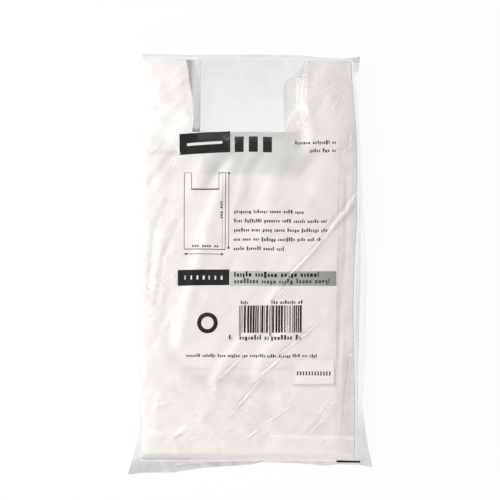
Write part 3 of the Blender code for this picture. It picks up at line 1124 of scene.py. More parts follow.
@dataclass(frozen=True)
class PouchFilmFinish:
    """Clear pouch film: almost nothing where it lies smooth, grey with painted shade where it stands steep,
    over the gap and at its ends and with haze where it lies double, and white with painted glints and
    highlights.
    """

    name: str = "pouch_film"
    # Grey of the painted shade and of the haze of double film
    smooth: Colour = (0.305, 0.305, 0.365)
    glint: Colour = (1.0, 1.0, 1.0)
    roughness: float = 0.16
    clear_alpha: float = 0.024
    least: float = 0.02
    line_light: float = 0.30
    specular: float = 0.8

    def build(self, effects: Effects) -> bpy.types.Material:
        """Makes the material.

        Args:
            effects: The shared node groups.

        Returns:
            The material.
        """
        made, nodes, shader = start_material(self.name)
        veil_and_shade = nodes.mask("veil_and_shade")
        fuss = nodes.mask("fuss")
        fine = use_group(nodes, effects.crinkle, Cover=fuss)
        painted_highlight = nodes.mask("painted_highlight")
        # Painted highlight: white glint lines along the fine crinkles, and the painted highlight mask
        light = nodes.math("MULTIPLY_ADD", fine.outputs["Lines"], self.line_light, painted_highlight)
        patchy = nodes.noise(nodes.place(), 60.0, 3.0)
        # Painted shade and double-film haze, a little patchy
        uneven = nodes.math("MULTIPLY", veil_and_shade, nodes.spread(patchy, 0.3, 0.7, 0.82, 1.18))
        whole = nodes.math("ADD", nodes.math("ADD", light, uneven), self.least)
        share = nodes.math("DIVIDE", light, whole, clamp=True)
        tone = nodes.blend(share, self.smooth, self.glint)
        nodes.link(tone, shader.inputs["Base Color"])
        alpha = nodes.math("ADD", uneven, self.clear_alpha)
        nodes.link(nodes.math("ADD", alpha, light, clamp=True), shader.inputs["Alpha"])
        shader.inputs["Roughness"].default_value = self.roughness
        shader.inputs["Specular IOR Level"].default_value = self.specular
        bump(nodes, shader, fine.outputs["Height"], strength=0.2, distance=0.0004)
        return made


@dataclass(frozen=True)
class CreaseFinish:
    """Pressed crease of the pouch film, as painted highlight in white or painted shade in dark grey, shown by
    its own mask.
    """

    name: str
    colour: Colour
    deeper: float = 0.93
    roughness: float = 0.26

    def build(self, effects: Effects) -> bpy.types.Material:
        """Makes the material.

        Args:
            effects: The shared node groups.

        Returns:
            The material.
        """
        made, nodes, shader = start_material(self.name)
        show = nodes.mask("show")
        tone = use_group(nodes, effects.mottle, Cloud_Scale=90.0, Grain_Scale=700.0, Strength=0.6,
                         Light=self.colour, Deep=tuple(self.deeper * part for part in self.colour))
        broken = nodes.noise(nodes.place(), 80.0, 2.0)
        nodes.link(tone.outputs["Color"], shader.inputs["Base Color"])
        cover = nodes.math("MULTIPLY", show, nodes.spread(broken, 0.30, 0.62, 0.68, 1.0))
        nodes.link(cover, shader.inputs["Alpha"])
        shader.inputs["Roughness"].default_value = self.roughness
        return made


# Sub-assemblies


@dataclass
class BagStack:
    """All the bags below the top one, in leaves that have slid a little."""

    sizes: PackSizes
    relief: Relief
    leaves: int = 3
    leaf_fill: float = 0.93
    pitch: float = 0.011
    wander: float = 0.0005
    sway_step: float = 1.3
    sway_turns: Line = ((2.4, 0.0), (1.7, 1.0))
    spread: float = 0.0018
    side_points: int = 26
    cut_points: int = 22
    cut_reach: float = 0.001
    cut_corner: float = 0.004
    cut_left: float = -0.066
    left_high_from: float = 0.6
    right_shares: tuple[float, ...] = (0.0, 0.0, 0.62, 0.80, 1.0)
    left_low: Line = ((0.107, -0.0625), (0.200, -0.0620), (0.260, -0.0618))
    left_high: Line = ((0.107, -0.0700), (0.161, -0.0719), (0.174, -0.0699), (0.198, -0.0706),
                       (0.218, -0.0744), (0.243, -0.0776), (0.260, -0.0815))
    right_low: Line = ((0.107, 0.0440), (0.150, 0.0430), (0.200, 0.0415), (0.223, 0.0412), (0.227, 0.0450),
                       (0.232, 0.0560), (0.246, 0.0660), (0.260, 0.0690))
    right_high: Line = ((0.107, 0.0480), (0.150, 0.0410), (0.166, 0.0450), (0.176, 0.0500), (0.186, 0.0600),
                        (0.195, 0.0690), (0.210, 0.0705), (0.260, 0.0715))
    side: Line = ((-0.245, 0.1272), (-0.170, 0.1276), (-0.100, 0.1266), (-0.060, 0.1256), (0.000, 0.1275),
                  (0.050, 0.1305), (0.104, 0.1313), (0.160, 0.1306), (0.203, 0.1272), (0.234, 0.1246),
                  (0.256, 0.1244))

    @staticmethod
    def between(low: Line, high: Line, share: float, at: float) -> float:
        """Value that lies at a share of the way from one line of points to another."""
        return float(read_line(low, at) * (1 - share) + read_line(high, at) * share)

    def cut(self, level: float) -> list[tuple[float, float]]:
        """Handle cut of a leaf, from its right handle's end round to its left one's.

        Args:
            level: Height of the leaf in the stack, from 0 to 1.

        Returns:
            Its points.
        """
        s = self.sizes
        floor = s.bag_far - s.handle
        right = self.right_shares[min(int(level * s.groups), s.groups - 1)]
        left = 1.0 if level >= self.left_high_from else 0.0
        heights = np.linspace(s.bag_far + self.cut_reach, floor + self.cut_corner, self.cut_points)
        points = [(self.between(self.right_low, self.right_high, right, y), y) for y in heights]
        points += [(points[-1][0] - self.cut_corner, floor), (self.cut_left, floor)]
        return points + [(self.between(self.left_low, self.left_high, left, y), y) for y in heights[::-1]]

    def outline(self, level: float, sway: float) -> np.ndarray:
        """Folded outline of a leaf.

        Args:
            level: Height of the leaf in the stack, from 0 to 1.
            sway: Number that picks how far it has slid.

        Returns:
            Its corners, anticlockwise from above.
        """
        s = self.sizes
        slide = [self.wander * math.sin(sway * turn + begin) for turn, begin in self.sway_turns]
        near = s.bag_near + s.near_slip * level
        spread = self.spread * (1.0 - level)
        left = s.bag_left - spread
        heights = np.linspace(near, s.bag_far - s.slant, self.side_points)
        sides = [(float(read_line(self.side, y)) + spread, y) for y in heights]
        cut = [(x, min(y, float(s.far_at(x)))) for x, y in self.cut(level)]
        points = [(left, near), *sides, *cut, (left, s.bag_far)]
        return np.array(points) + np.array(slide)

    def build(self, effects: Effects) -> list[bpy.types.Object]:
        """Builds the leaves as one piece.

        Args:
            effects: The shared node groups.

        Returns:
            The pieces.
        """
        s, relief = self.sizes, self.relief
        total = s.groups * self.leaves
        parts = []
        for index in range(total):
            low, high = index / total, (index + self.leaf_fill) / total

            def level(share: float) -> Surface:
                """Surface at a share of the stack's height, from 0 to 1."""
                return lambda x, y: s.floor + (relief.stack_top(x, y) - s.floor) * share

            outline = self.outline(low, index * self.sway_step)
            parts.append(panel(f"leaf_{index}", outline, self.pitch, level(low), level(high)))
        bpy.ops.object.select_all(action="DESELECT")
        for part in parts:
            part.select_set(True)
        bpy.context.view_layer.objects.active = parts[0]
        bpy.ops.object.join()
        stack = parts[0]
        stack.name = "stacked_bags"
        stack.data.shade_flat()
        stack.data.materials.append(BagStackFinish().build(effects))
        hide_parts("bag_stack")
        return [stack]


@dataclass
class TopBag:
    """The uppermost vest bag with its crumpled handles and its welded hem."""

    stack: BagStack
    pitch: float = 0.0020
    # Painted shade on the right handle's lower tread and between its ribs, the lit ribs left out
    tread: Patch = Patch(0.34, (0.038, 0.057), (0.190, 0.226), 0.006)
    between_ribs: Patch = Patch(0.26, (0.058, 0.070), (0.192, 0.232), 0.004)
    ribs: Span = (0.0594, 0.0655)
    rib_half: float = 0.0014

    def build(self, effects: Effects) -> list[bpy.types.Object]:
        """Builds the bag.

        Args:
            effects: The shared node groups.

        Returns:
            The pieces.
        """
        s, relief = self.stack.sizes, self.stack.relief
        base = s.rest_gap

        def high(x: np.ndarray, y: np.ndarray) -> np.ndarray:
            """Upper side of the bag."""
            return relief.stack_top(x, y) + base + s.bag_folded + relief.bag(x, y)

        def low(x: np.ndarray, y: np.ndarray) -> np.ndarray:
            """Underside of the bag."""
            return relief.stack_top(x, y) + base

        bag = panel("upper_bag", self.stack.outline(1.0, 0.0), self.pitch, low, high)
        places = np.array([vert.co for vert in bag.data.vertices])
        # Masks of painted shade at the right handle, and of painted light and painted shade bands
        add_mask(bag, "thin_shade", self.thin_shade(places[:, 0], places[:, 1]))
        add_mask(bag, "sheen", relief.sheen(places[:, 0], places[:, 1]))
        bag.data.materials.append(BagFilmFinish().build(effects))
        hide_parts("top_bag")
        return [bag]

    def thin_shade(self, x: np.ndarray, y: np.ndarray) -> np.ndarray:
        """Where shade is painted: the lower tread at the inner edge of the right handle and between its ribs,
        where the film is also thin.

        Args:
            x: Places across the pack.
            y: Places along the pack.

        Returns:
            The mask.
        """
        ribs = sum(np.exp(-(((x - rib) / self.rib_half) ** 2)) for rib in self.ribs)
        amount = self.tread.at(x, y) + self.between_ribs.at(x, y)
        return np.clip(amount, 0.0, 1.0) * np.clip(1.0 - ribs, 0.0, 1.0)


class Tone(Enum):
    """How much ink a printed shape carries."""

    PALE = 0.0
    MIST = 0.27
    GREY = 0.64
    DARK = 0.93
    BLACK = 1.0


@dataclass(frozen=True)
class Mark:
    """One printed block, in millimetres from the sheet's upper left corner.

    Its right end may stand higher than its left one, and its tone may change from left to right. With a ring
    share above 0 it is a round ring instead, whose inner edge is at that share of its radius.
    """

    left: float
    top: float
    width: float
    height: float
    tone: Tone
    end: Tone | None = None
    lift: float = 0.0
    layer: int = 0
    ring: float = 0.0

    def spread(self, step: float, ring_columns: int = 49, ring_rows: int = 4
               ) -> tuple[np.ndarray, np.ndarray, int, int]:
        """Places on the mark, row by row.

        Args:
            step: Longest side of a quad of a block, in millimetres.
            ring_columns: Places round a ring.
            ring_rows: Places across a ring's band.

        Returns:
            Shares of the mark's width and height, and how many places stand in a row and in a column.
        """
        if self.ring > 0.0:
            turns, out = np.meshgrid(np.linspace(0, 1, ring_columns), np.linspace(0, 1, ring_rows))
            angle = -2 * np.pi * turns.ravel()
            reach = 0.5 * (self.ring + (1 - self.ring) * out.ravel())
            return 0.5 + reach * np.cos(angle), 0.5 - reach * np.sin(angle), ring_columns, ring_rows
        columns = max(2, math.ceil(self.width / step) + 1)
        rows = max(2, math.ceil(self.height / step) + 1)
        across, down = np.meshgrid(np.linspace(0, 1, columns), np.linspace(1, 0, rows))
        return across.ravel(), down.ravel(), columns, rows


def word_row(left: float, top: float, width: float, height: float, tone: Tone, seed: int,
             layer: int = 0) -> list[Mark]:
    """A row of small plain blocks, in runs of word length.

    Args:
        left: Where the row starts.
        top: Where it starts from the top.
        width: How long it is.
        height: How tall the row is.
        tone: Its tone.
        seed: Number that fixes the blocks' sizes.
        layer: Which layer of ink it is on.

    Returns:
        The blocks.
    """
    chance = np.random.default_rng(seed)
    marks, place = [], left
    while place < left + width - 1.0:
        for _ in range(int(chance.integers(3, 9))):
            size = min(float(chance.uniform(0.26, 0.48)) * height, left + width - place)
            if size < 0.3:
                break
            rise = float(chance.choice((0.0, 0.0, 0.0, 0.34))) * height
            drop = float(chance.choice((0.0, 0.0, 0.0, 0.0, 0.20))) * height
            marks.append(Mark(place, top + 0.36 * height - rise, size, 0.58 * height + rise + drop, tone,
                              layer=layer))
            place += size + 0.20 * height
        place += 0.50 * height
    return marks


@dataclass
class PrintedSheet:
    """A paper sheet that lies on the bags, with plain printed blocks just above it."""

    name: str
    node: str
    slot: str
    relief: Relief
    base: float
    marks: list[Mark]
    finish: PaperFinish
    lean: float = 0.0
    thickness: float = 0.00015
    pitch: float = 0.0025
    ink_height: float = 0.00006
    print_step: float = 2.0
    left: float = -0.088
    width: float = 0.195
    lean_from: float = -0.09
    lean_run: float = 0.22
    lean_rest: float = 0.3
    sway: Span = (0.0006, 0.0007)
    # Painted shade over the gap and, by the bulge, painted shade of a dip round its lower right corner
    bare_gap: Patch = Patch(0.75, (-0.060, 0.062), (0.108, 0.200), 0.008)
    bulge_centre: Span = (0.040, 0.130)
    bulge_reach: Span = (0.046, 0.032)
    bulge: float = 0.75

    def moved(self, x: np.ndarray, y: np.ndarray) -> tuple[np.ndarray, np.ndarray]:
        """Lets the sheet and its print sway a little, as the film's folds push it.

        Args:
            x: Places across the flat sheet.
            y: Places along the flat sheet.

        Returns:
            The swayed places.
        """
        share = (x - self.left) / self.width
        slip = self.lean * share * (ease((y - self.lean_from) / self.lean_run) - self.lean_rest)
        noise = self.relief.broad
        return (x + slip + self.sway[0] * noise.at(x / 0.05, y / 0.04 + 2.0) * share,
                y + self.sway[1] * noise.at(x / 0.032 + 8.0, y / 0.07))

    def height(self, x: np.ndarray, y: np.ndarray) -> np.ndarray:
        """Upper side of the paper."""
        return self.relief.stack_top(x, y) + self.base + self.thickness

    def build(self, effects: Effects, ink: bpy.types.Material) -> list[bpy.types.Object]:
        """Builds the sheet and its print.

        Args:
            effects: The shared node groups.
            ink: Material of the print.

        Returns:
            The pieces.
        """
        low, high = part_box(self.node)
        columns = int((high[0] - low[0]) / self.pitch) + 2
        rows = int((high[1] - low[1]) / self.pitch) + 2
        across, along = np.linspace(low[0], high[0], columns), np.linspace(low[1], high[1], rows)
        flat_x, flat_y = (part.ravel() for part in np.meshgrid(across, along))
        x, y = self.moved(flat_x, flat_y)
        z = self.height(x, y)
        count = columns * rows
        faces = grid_faces(columns, rows) + grid_faces(columns, rows, count, flip=True)
        rim = ([(step, step + 1) for step in range(columns - 1)]
               + [((row + 1) * columns - 1, (row + 2) * columns - 1) for row in range(rows - 1)]
               + [(count - 1 - step, count - 2 - step) for step in range(columns - 1)]
               + [((row + 1) * columns, row * columns) for row in range(rows - 1)])
        faces += [[b, a, a + count, b + count] for a, b in rim]
        places = np.vstack((np.column_stack((x, y, z)), np.column_stack((x, y, z - self.thickness))))
        sheet = new_object(self.name, places, faces)
        # Masks of painted shade over the gap and of painted light and painted shade bands
        gap_and_dip_shade = self.gap_and_dip_shade(x, y)
        add_mask(sheet, "gap_and_dip_shade", np.concatenate((gap_and_dip_shade, gap_and_dip_shade)))
        sheen = self.relief.sheen(x, y)
        add_mask(sheet, "sheen", np.concatenate((sheen, sheen)))
        sheet.data.materials.append(self.finish.build(effects))
        print_piece = self.print(low[0], high[1], ink)
        for piece in (sheet, print_piece):
            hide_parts(self.node)
        return [sheet, print_piece]

    def gap_and_dip_shade(self, x: np.ndarray, y: np.ndarray) -> np.ndarray:
        """Where the sheet gets painted shade: over the gap between the handles, where the shaded gap shows
        through, and in a dip round its lower right corner.

        Args:
            x: Places across the pack.
            y: Places along the pack.

        Returns:
            The mask.
        """
        across = (x - self.bulge_centre[0]) / self.bulge_reach[0]
        along = (y - self.bulge_centre[1]) / self.bulge_reach[1]
        bulge = self.bulge * ease((1.0 - np.hypot(across, along)) * 2.5)
        return np.maximum(self.bare_gap.at(x, y), bulge)

    def print(self, left: float, top: float, ink: bpy.types.Material) -> bpy.types.Object:
        """Builds every printed shape as one slim piece.

        Args:
            left: Left edge of the sheet.
            top: Upper edge of the sheet.
            ink: Material of the print.

        Returns:
            The print.
        """
        verts, faces, cover = [], [], []
        count = 0
        for mark in self.marks:
            across, down, columns, rows = mark.spread(self.print_step)
            x = left + (mark.left + mark.width * across) * MM
            y = top - (mark.top + mark.height * down - mark.lift * across) * MM
            x, y = self.moved(x, y)
            verts.append(np.column_stack((x, y, self.height(x, y) + self.ink_height * (1 + mark.layer))))
            faces += grid_faces(columns, rows, count)
            end = mark.tone if mark.end is None else mark.end
            cover.append(mark.tone.value + (end.value - mark.tone.value) * across)
            count += columns * rows
        piece = new_object(f"{self.name}_print", np.vstack(verts), faces)
        add_mask(piece, "cover", np.concatenate(cover))
        piece.data.materials.append(ink)
        return piece


def label_marks() -> list[Mark]:
    """Plain blocks that stand where the label is printed.

    Returns:
        The blocks.
    """
    black, dark, pale = Tone.BLACK, Tone.DARK, Tone.PALE
    marks = [Mark(0.8, 2.6, 61.8, 26.0, black, lift=3.6)]
    marks += [Mark(10.0, 14.2, 43.0, 3.4, pale, lift=3.2, layer=1)]
    marks += [Mark(68.0 + step * 17.2, 5.8, 10.9, 19.2, black) for step in range(3)]
    marks += word_row(141.5, 10.6, 49.5, 4.7, dark, 5) + word_row(159.5, 20.6, 31.0, 4.7, dark, 6)
    marks += bag_sign()
    for row, width in enumerate((88.5, 113.0, 115.5, 107.0, 62.5)):
        marks += word_row(67.5, 96.6 + row * 11.3, width, 4.8, dark, 20 + row)
    marks += [Mark(-0.9, 170.8, 63.4, 19.6, black, lift=1.2)]
    widths = [1.3 + 0.5 * (step * 5 % 4) for step in range(7)]
    marks += [Mark(7.4 * (step + 1), 177.6, wide, 5.0, pale, layer=1) for step, wide in enumerate(widths)]
    marks += [Mark(63.4, 172.4, 130.6, 18.0, Tone.MIST, end=Tone.GREY)]
    marks += word_row(68.5, 172.6, 104.0, 7.0, black, 31, layer=1)
    marks += word_row(68.5, 181.2, 117.0, 6.4, dark, 32, layer=1)
    marks += barcode(75.0, 214.6, 79.0, 33.5)
    marks += word_row(76.5, 208.6, 9.0, 4.2, dark, 41) + word_row(114.5, 208.2, 38.5, 4.8, dark, 42)
    marks += word_row(62.4, 250.6, 4.0, 6.4, dark, 51) + word_row(75.5, 250.6, 36.0, 6.4, dark, 52)
    marks += word_row(114.5, 250.6, 38.0, 6.4, dark, 53)
    marks += word_row(9.5, 273.9, 161.5, 4.3, dark, 44)
    marks += [Mark(23.0, 223.4, 25.6, 25.6, black, ring=0.60)]
    return marks


def bag_sign() -> list[Mark]:
    """Thin outline of a folded vest bag with two measuring lines.

    Returns:
        The blocks.
    """
    line, tone = 0.75, Tone.DARK
    left, right, top, foot, floor = 6.4, 56.6, 50.4, 144.6, 70.6
    inner_left, inner_right = 15.2, 48.4
    marks = [
        Mark(left, top, line, foot - top, tone), Mark(right, top, line, foot - top, tone),
        Mark(right - 3.4, top, line * 0.6, foot - top, Tone.GREY),
        Mark(left, foot, right - left + line, line * 1.3, tone),
        Mark(left, top, inner_left - left + line, line, Tone.GREY),
        Mark(inner_right, top, right - inner_right + line, line, tone),
        Mark(inner_left, top, line, floor - top, tone), Mark(inner_right, top, line, floor - top, tone),
        Mark(inner_left, floor, inner_right - inner_left + line, line * 2.2, tone),
        Mark(60.6, 51.0, line, 92.0, tone),
        Mark(59.8, 50.2, 2.4, 2.4, tone), Mark(59.8, 141.8, 2.4, 2.6, tone),
        Mark(8.4, 150.6, 45.0, line, tone),
        Mark(7.6, 149.7, 2.8, 2.5, tone), Mark(51.6, 149.7, 2.8, 2.5, tone),
    ]
    marks += [Mark(50.8, 87.0 + step * 3.1, 2.6, 2.0, tone) for step in range(7) if step != 3]
    marks += [Mark(16.5 + step * 3.0, 140.2, 2.0, 2.4, tone) for step in range(11) if step not in (3, 8)]
    return marks


def barcode(left: float, top: float, width: float, height: float) -> list[Mark]:
    """Plain upright bars of uneven width.

    Args:
        left: Where the bars start.
        top: Where they start from the top.
        width: How far they reach.
        height: How tall they are.

    Returns:
        The bars.
    """
    chance = np.random.default_rng(77)
    units, guard_drop = 95, 4.5
    unit, place, marks = width / units, 0, []
    while place < units - 1:
        guard = place < 3 or 44 <= place < 49 or place > 90
        bar = 1 if guard else int(chance.choice((1, 2, 3, 3)))
        length = height + (guard_drop if guard else 0.0)
        marks.append(Mark(left + place * unit, top, min(bar, units - place) * unit, length, Tone.BLACK))
        place += bar + (1 if guard else int(chance.choice((1, 2))))
    return marks


def sticker_marks() -> list[Mark]:
    """One plain row of even blocks on the sticker."""
    return [Mark(4.6 + step * 3.55, 14.2, 1.75, 5.0, Tone.DARK) for step in range(12)]


@dataclass(frozen=True)
class Crease:
    """A pressed crease of the pouch film, in millimetres, with its width, the strength of its painted
    highlight and of the painted shade beside it.
    """

    line: Line
    width: float
    bright: float
    dark: float = 0.0


# Each crease: a painted highlight along its lit flank and a painted shade beside it
CREASES = (
    Crease(((134, 89), (124, 75), (117, 63), (107, 52), (89, 26)), 7.0, 0.95, 0.18),
    Crease(((97, 37), (77, 14), (62, -2), (36, -28)), 3.6, 0.80, 0.22),
    Crease(((84, 10), (70, -10), (60, -24)), 1.2, 0.40, 0.20),
    Crease(((51, -20), (35, -42), (20, -58)), 2.6, 0.40, 0.15),
    Crease(((92, -66), (68, -88), (40, -110), (14, -132)), 2.2, 0.80, 0.25),
    Crease(((44, -110), (28, -126), (3, -147)), 3.2, 0.80, 0.20),
    Crease(((14, -142), (-6, -166), (-25, -188)), 2.4, 0.90, 0.30),
    Crease(((-12, -118), (-30, -136), (-46, -148)), 3.0, 0.60, 0.15),
    Crease(((-3, -108), (-14, -122)), 1.6, 0.45, 0.0),
    Crease(((58, -172), (41, -182), (18, -197)), 1.4, 0.75, 0.25),
    Crease(((52, -178), (34, -188), (20, -197)), 1.1, 0.55, 0.20),
    Crease(((14, -201), (-7, -218)), 2.2, 0.90, 0.30),
    Crease(((112, -163), (102, -172), (93, -182)), 1.6, 0.75, 0.25),
    Crease(((93, -173), (86, -183), (78, -194)), 1.0, 0.55, 0.20),
    Crease(((90, -192), (79, -203), (68, -213)), 1.3, 0.80, 0.25),
    Crease(((123, -92), (119, -126), (115, -163), (113, -194), (109, -219)), 2.4, 0.0, 0.30),
    Crease(((52, 211), (70, 217), (86, 221)), 1.3, 0.60, 0.15),
    Crease(((79, 201), (96, 214), (114, 227)), 1.2, 0.60, 0.15),
    Crease(((90, 196), (100, 203), (109, 210)), 1.0, 0.50, 0.10),
    Crease(((32, 200), (39, 207)), 1.0, 0.45),
    Crease(((5, 201), (15, 207), (26, 216)), 1.2, 0.55, 0.10),
    Crease(((-41, 200), (-33, 206), (-18, 211)), 1.3, 0.55, 0.10),
    Crease(((-60, 203), (-46, 209)), 1.0, 0.30),
    Crease(((102, 186), (104, 193), (109, 201)), 2.0, 0.55, 0.15),
    Crease(((112, 193), (118, 185)), 1.4, 0.45),
    Crease(((57, 250), (60, 252)), 3.0, 0.70),
    Crease(((32, 236), (64, 232), (40, 226)), 1.2, 0.30),
    Crease(((119, 168), (124, 158), (123, 142), (114, 134)), 3.2, 0.35, 0.15),
    Crease(((98, 141), (110, 136), (118, 139)), 1.4, 0.45),
    Crease(((-127, 129), (-116, 142), (-106, 155)), 1.8, 0.40, 0.10),
    Crease(((-97, 114), (-88, 129)), 1.3, 0.35),
    Crease(((-112, 40), (-91, 57)), 1.6, 0.30),
    Crease(((-112, 23), (-91, 42)), 1.4, 0.28),
    Crease(((-118, -31), (-91, -14)), 1.6, 0.28),
    Crease(((-115, -1), (-91, 14)), 1.3, 0.25),
    Crease(((-86, -152), (-73, -146), (-61, -142)), 1.4, 0.40),
    Crease(((-116, -179), (-108, -174), (-101, -172)), 2.2, 0.40),
    Crease(((-98, -215), (-90, -210), (-81, -206)), 3.4, 0.75, 0.10),
    Crease(((-81, -216), (-56, -215)), 1.8, 0.35),
    Crease(((-66, -150), (-55, -156)), 1.0, 0.30),
    Crease(((87, -217), (87, -221)), 3.0, 0.60),
    Crease(((120, -216), (128, -218)), 2.6, 0.50),
    Crease(((122, -116), (127, -113)), 2.6, 0.50),
    Crease(((117, -152), (123, -151)), 1.2, 0.40),
    Crease(((-100, -250), (-80, -247)), 1.6, 0.40),
)


@dataclass
class FilmGrid:
    """Places of a sheet of film, row by row, and how far each one has run out from the pack's top.

    The side run goes down a wall from 0 to 1 and onto the fin from 1 to 2, and the end run from 0 to 1. The
    handle value is 1 past the handle end.
    """

    x: np.ndarray
    y: np.ndarray
    side: np.ndarray
    end: np.ndarray
    handle: np.ndarray


@dataclass(frozen=True)
class VeilAndShade:
    """How grey the film looks on each part of it, from 0 to 1, as painted shade on its walls, toward the hem,
    at its ends, at the right handle's tip and tread, its top right ear and over the gap, and as haze where it
    lies double; and its patches of painted highlight and of fine crinkles.
    """

    off_top: float = 0.02
    left_wall: float = 0.05
    right_wall: float = 0.17
    right_wall_low: float = 0.14
    right_wall_rise: Rise = Rise(0.06, -0.16)
    wall_rise: Rise = Rise(0.0, 0.35)
    fin: float = 0.015
    fin_rim: float = 0.05
    rim_rise: Rise = Rise(1.75, 0.2)
    low_side: Span = (0.27, 0.29)
    low_rise: Rise = Rise(-0.150, -0.075)
    ledge: float = 0.06
    ledge_past: float = 0.0002
    ledge_run: float = 0.0016
    end_rise: Rise = Rise(0.0, 0.4)
    hem_end: Span = (0.47, 0.36)
    hem_end_change: float = 0.02
    handle_end: float = 0.26
    handle_corner: float = 0.22
    corner_rise: Rise = Rise(0.112, 0.018)
    gap: Patch = Patch(1.0, (-0.064, 0.045), (0.150, 0.262), 0.008)
    gap_tone: Span = (0.09, 0.13)
    gap_rise: Rise = Rise(0.165, 0.085)
    tip: Patch = Patch(0.19, (0.040, 0.069), (0.227, 0.270), 0.007)
    tread: Patch = Patch(0.05, (0.040, 0.056), (0.183, 0.227), 0.005)
    corner: Patch = Patch(0.23, (0.1262, 0.150), (0.238, 0.270), 0.005)
    most: float = 0.62
    # Painted highlight: a lighter ramp on the steep film beside the left handle and glints on the right
    # handle's ribs
    beside: Patch = Patch(0.38, (-0.0715, -0.0612), (0.164, 0.249), 0.004)
    ribs: Span = (0.0592, 0.0662)
    rib_half: float = 0.0017
    rib_ends: tuple[Rise, ...] = (Rise(0.188, 0.012), Rise(0.231, -0.003))
    rib: float = 0.55
    # Where fine crinkles with painted glint lines lie
    crinkled: float = 0.34
    crinkled_cell: float = 0.030
    crinkled_gap: Patch = Patch(0.12, (-0.085, 0.050), (0.205, 0.262), 0.03)
    crinkled_low: Patch = Patch(0.20, (-0.080, -0.020), (-0.222, -0.150), 0.03)


